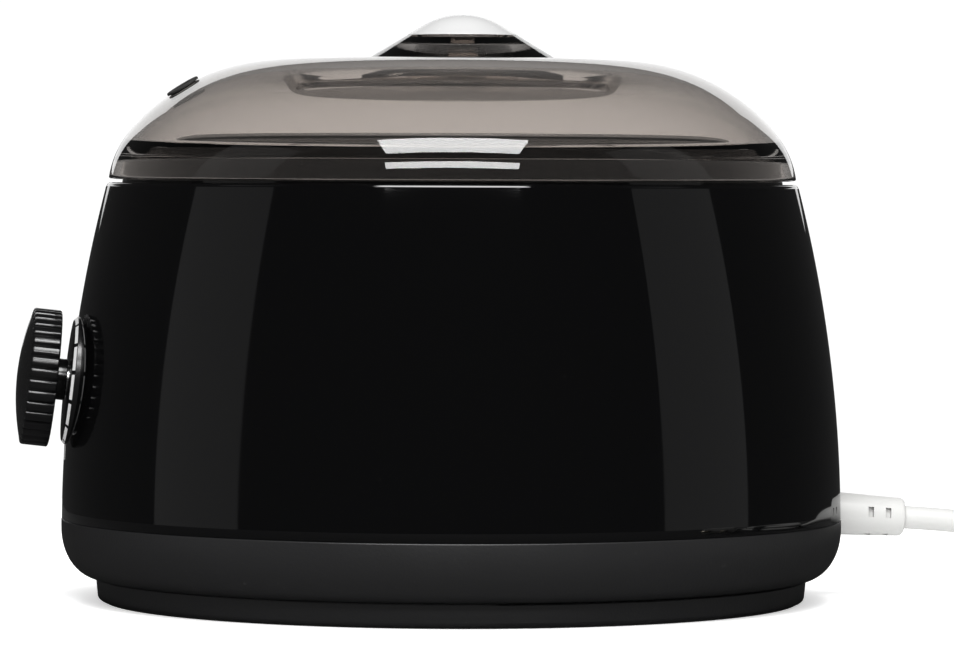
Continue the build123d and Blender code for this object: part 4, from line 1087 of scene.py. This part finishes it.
# place along the plug, width, height and corner radius of its sections
PLUG_START = [(0.0, 6.0, 6.0, 3.0), (0.5, 6.6, 6.6, 3.3)]
PLUG_SHOULDER = [(12.0, 7.8, 7.8, 3.9), (12.0, 12.6, 10.6, 4.0), (12.3, 13.6, 11.2, 4.0)]
PLUG_BODY = [(22.0, 25.0, 15.0, 4.0), (36.2, 25.0, 15.0, 4.0)]
PLUG_FACE = [(36.8, 24.4, 14.4, 3.7), (37.0, 23.4, 13.4, 3.2)]
PLUG_RINGS = 4
PLUG_RING_START, PLUG_RING_PITCH = 1.6, 2.4
PLUG_RING_GIRTH, PLUG_RING_GROWTH, PLUG_RING_DEPTH = 6.6, 0.28, 0.7
PLUG_SWELL = (8.7, 11.2, 3.6)  # length of the swelling back and how much wider and higher it gets
PLUG_SWELL_STEPS = 8


def make_relief():
    """The strain relief: a flange inside the casing and a tapered sleeve with two rows of slots."""
    outline = rounded(
        [
            (RELIEF_BORE, FLANGE_BACK),
            (FLANGE_RADIUS, FLANGE_BACK, 0.5),
            (FLANGE_RADIUS, FLANGE_FRONT, 0.5),
            (NECK_RADIUS, FLANGE_FRONT),
            (NECK_RADIUS, 0.0),
            (SLEEVE_START_RADIUS, 0.0, 0.15),
            (SLEEVE_END_RADIUS, RELIEF_LENGTH, 1.1),
            (RELIEF_BORE + 0.06, RELIEF_LENGTH, 0.2),
            (RELIEF_BORE, RELIEF_LENGTH - 0.6),
        ],
        6,
    )
    mesh = turned_mesh("lead_relief", outline, 96, EXIT_FRAME)
    low, high, half = SLOT_FLOOR, SLOT_REACH, SLOT_HALF_WIDTH
    slots = []
    for row in RELIEF_SLOT_ROWS:
        for k in range(SLOTS_PER_ROW):
            angle = RELIEF_SLOT_TURN + k * 2 * pi / SLOTS_PER_ROW
            ring = []
            for u, v in ((low, -half), (high, -half), (high, half), (low, half)):
                ring.append((u * cos(angle) - v * sin(angle), u * sin(angle) + v * cos(angle)))
            box = [[(x, y, row + side * SLOT_HALF_LENGTH) for x, y in ring] for side in (-1, 1)]
            slots.append(lofted_mesh("slot", box, EXIT_FRAME))
    relief = add_piece("lead_relief", cut(mesh, slots), WHITE_LEAD, "root")
    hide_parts("strain_relief")


def rounded_rectangle(width, height, radius, steps=6):
    """A ring of points round a rectangle with rounded corners, centred at the origin."""
    radius = min(radius, width / 2 - 0.01, height / 2 - 0.01)
    ring = []
    for k, (sx, sy) in enumerate(((1, 1), (-1, 1), (-1, -1), (1, -1))):
        for i in range(steps + 1):
            angle = radians(90 * k + 90 * i / steps)
            x = sx * (width / 2 - radius) + radius * cos(angle)
            y = sy * (height / 2 - radius) + radius * sin(angle)
            ring.append((x, y))
    return ring


def make_plug():
    """The plug lies along -X: a ribbed sleeve at the lead, then a swelling back and the flat-sided body."""
    place = frame_matrix(TAIL_ROUTE[-1], (-1, 0, 0), (0, -1, 0))
    sections = list(PLUG_START)
    for k in range(PLUG_RINGS):
        start = PLUG_RING_START + PLUG_RING_PITCH * k
        ring = PLUG_RING_GIRTH + PLUG_RING_GROWTH * (k + 1)
        groove = ring - PLUG_RING_DEPTH
        for along, girth in ((0.0, ring), (0.3, groove), (1.0, groove), (1.3, ring + 0.1)):
            sections.append((start + along, girth, girth, ring / 2))
    sections += PLUG_SHOULDER
    along, width, height, corner = PLUG_SHOULDER[-1]
    length, wider, higher = PLUG_SWELL
    for k in range(1, PLUG_SWELL_STEPS + 1):
        share = k / PLUG_SWELL_STEPS
        swell = eased(share)
        sections.append((along + length * share, width + wider * swell, height + higher * swell, corner))
    sections += PLUG_BODY + PLUG_FACE
    rings = [[(x, y, along) for x, y in rounded_rectangle(w, h, r)] for along, w, h, r in sections]
    mesh = lofted_mesh("mains_plug", rings, place)
    plug = add_piece("mains_plug", mesh, WHITE_LEAD, "root")
    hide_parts("plug_body")
    return plug


def make_tie():
    """A flat rubberised band round the coil, with rounded corners."""
    centre = COIL_CENTRE + Vector((cos(TIE_ANGLE), sin(TIE_ANGLE), 0)) * COIL_MEAN_RADIUS
    centre.z = TIE_MIDDLE
    place = frame_matrix(centre, (-sin(TIE_ANGLE), cos(TIE_ANGLE), 0), (cos(TIE_ANGLE), sin(TIE_ANGLE), 0))
    outer, inner = rounded_rectangle(*TIE_OUTER), rounded_rectangle(*TIE_INNER)
    wide = TIE_HALF_WIDTH + TIE_EDGE
    rows = ((outer, -TIE_HALF_WIDTH), (outer, TIE_HALF_WIDTH), (inner, wide), (inner, -wide))
    rings = [[(x, y, along) for x, y in ring] for ring, along in rows]
    mesh = lofted_mesh("lead_tie", rings, place, endless=True)
    tie = add_piece("lead_tie", mesh, RUBBER, "root")
    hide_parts("cord_tie")
    return tie


def finish_cord():
    power_lead.data.materials.append(WHITE_LEAD)
    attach(power_lead, "root")
    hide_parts("power_cord", "cord_coil", "cord_tail")
    make_plug()
    make_tie()


make_relief()
finish_cord()


# ---------------------------------------------------------------- solids that show as they are


def finish_nodes():
    """Gives every solid that shows as it is the material of its slot."""
    for entry in frame["record"]["subparts"]:
        node = frame["nodes"][entry["node"]]
        node.data.materials.clear()
        node.data.materials.append(SLOT_MATERIALS[entry["material_slot"]])


finish_nodes()


# ---------------------------------------------------------------- stage and light

SURROUND = 1.06
FILL = 0.72
MIRRORED_SURROUND = 0.03
MIRRORED_THROUGH_LID = 0.45
FLOOR_RADIUS = 0.36
FLOOR_GLOW = 0.45
PANEL_TARGET = Vector((0, 0, 0.06))
# bearing from the camera's side and elevation in degrees, distance, width and height in metres, radiance
PANELS = {
    "left_strip": (-77, 4, 0.9, 0.5, 1.5, 0.2),
    "right_strip": (77, 4, 0.9, 0.5, 1.5, 0.2),
    "front_window": (0, 57, 1.3, 0.86, 0.42, 16),
    "front_bar": (0, 33.2, 1.3, 0.93, 0.17, 16),
    "backdrop": (180, 14, 1.3, 1.1, 0.46, 1.2),
}


def make_floor():
    """A small pale disc that glows a little, to fade into the surround, and is dark in reflections."""
    mesh = bpy.data.meshes.new("floor")
    work = bmesh.new()
    bmesh.ops.create_circle(work, cap_ends=True, segments=96, radius=FLOOR_RADIUS)
    work.to_mesh(mesh)
    work.free()
    floor = new_object("floor", mesh)
    material, tree, shader = new_material("pale_floor", Roughness=0.9)
    mirrored = mirror_rays(tree)
    tinted(tree, shader, mirrored, (0.9, 0.9, 0.9), (0.03, 0.03, 0.03))
    shader.inputs["Emission Color"].default_value = (1, 1, 1, 1)
    tree.links.new(ranged(tree, mirrored, 0.0, 1.0, FLOOR_GLOW, 0.0), shader.inputs["Emission Strength"])
    mesh.materials.append(material)


def make_panel(name, azimuth, elevation, distance, width, height, radiance):
    """A soft rectangular light aimed at the object, placed by its bearing from the camera's side."""
    a = CAMERA_AZIMUTH + radians(azimuth)
    e = radians(elevation)
    away = Vector((sin(a) * cos(e), -cos(a) * cos(e), sin(e)))
    data = bpy.data.lights.new(name, "AREA")
    data.shape, data.size, data.size_y = "RECTANGLE", width, height
    data.energy = radiance * pi * width * height
    light = new_object(name, data)
    light.location = PANEL_TARGET + away * distance
    light.rotation_mode = "QUATERNION"
    light.rotation_quaternion = (-away).to_track_quat("-Z", "Y")
    light.visible_camera = False
    light.visible_transmission = False


def mirror_rays(tree):
    """1 for what is seen in a mirror-like reflection, 0 for what is seen directly."""
    path = tree.nodes.new("ShaderNodeLightPath")
    return math_node(tree, "MINIMUM", path.outputs["Glossy Depth"], 1.0)


def make_world():
    """A surround that is white when seen, even through the lid, softer as light and dim in reflections."""
    world = bpy.data.worlds.new("studio")
    bpy.context.scene.world = world
    world.use_nodes = True
    tree = world.node_tree
    background = tree.nodes["Background"]
    background.inputs["Color"].default_value = (1, 1, 1, 1)
    path = tree.nodes.new("ShaderNodeLightPath")
    direct = ranged(tree, path.outputs["Is Diffuse Ray"], 0.0, 1.0, SURROUND, FILL)
    through = path.outputs["Is Transmission Ray"]
    reflected = ranged(tree, through, 0.0, 1.0, MIRRORED_SURROUND, MIRRORED_THROUGH_LID)
    strength = ranged(tree, mirror_rays(tree), 0.0, 1.0, direct, reflected)
    tree.links.new(strength, background.inputs["Strength"])


make_floor()
for panel_name, setting in PANELS.items():
    make_panel(panel_name, *setting)
make_world()
bpy.context.scene.view_settings.view_transform = "Standard"
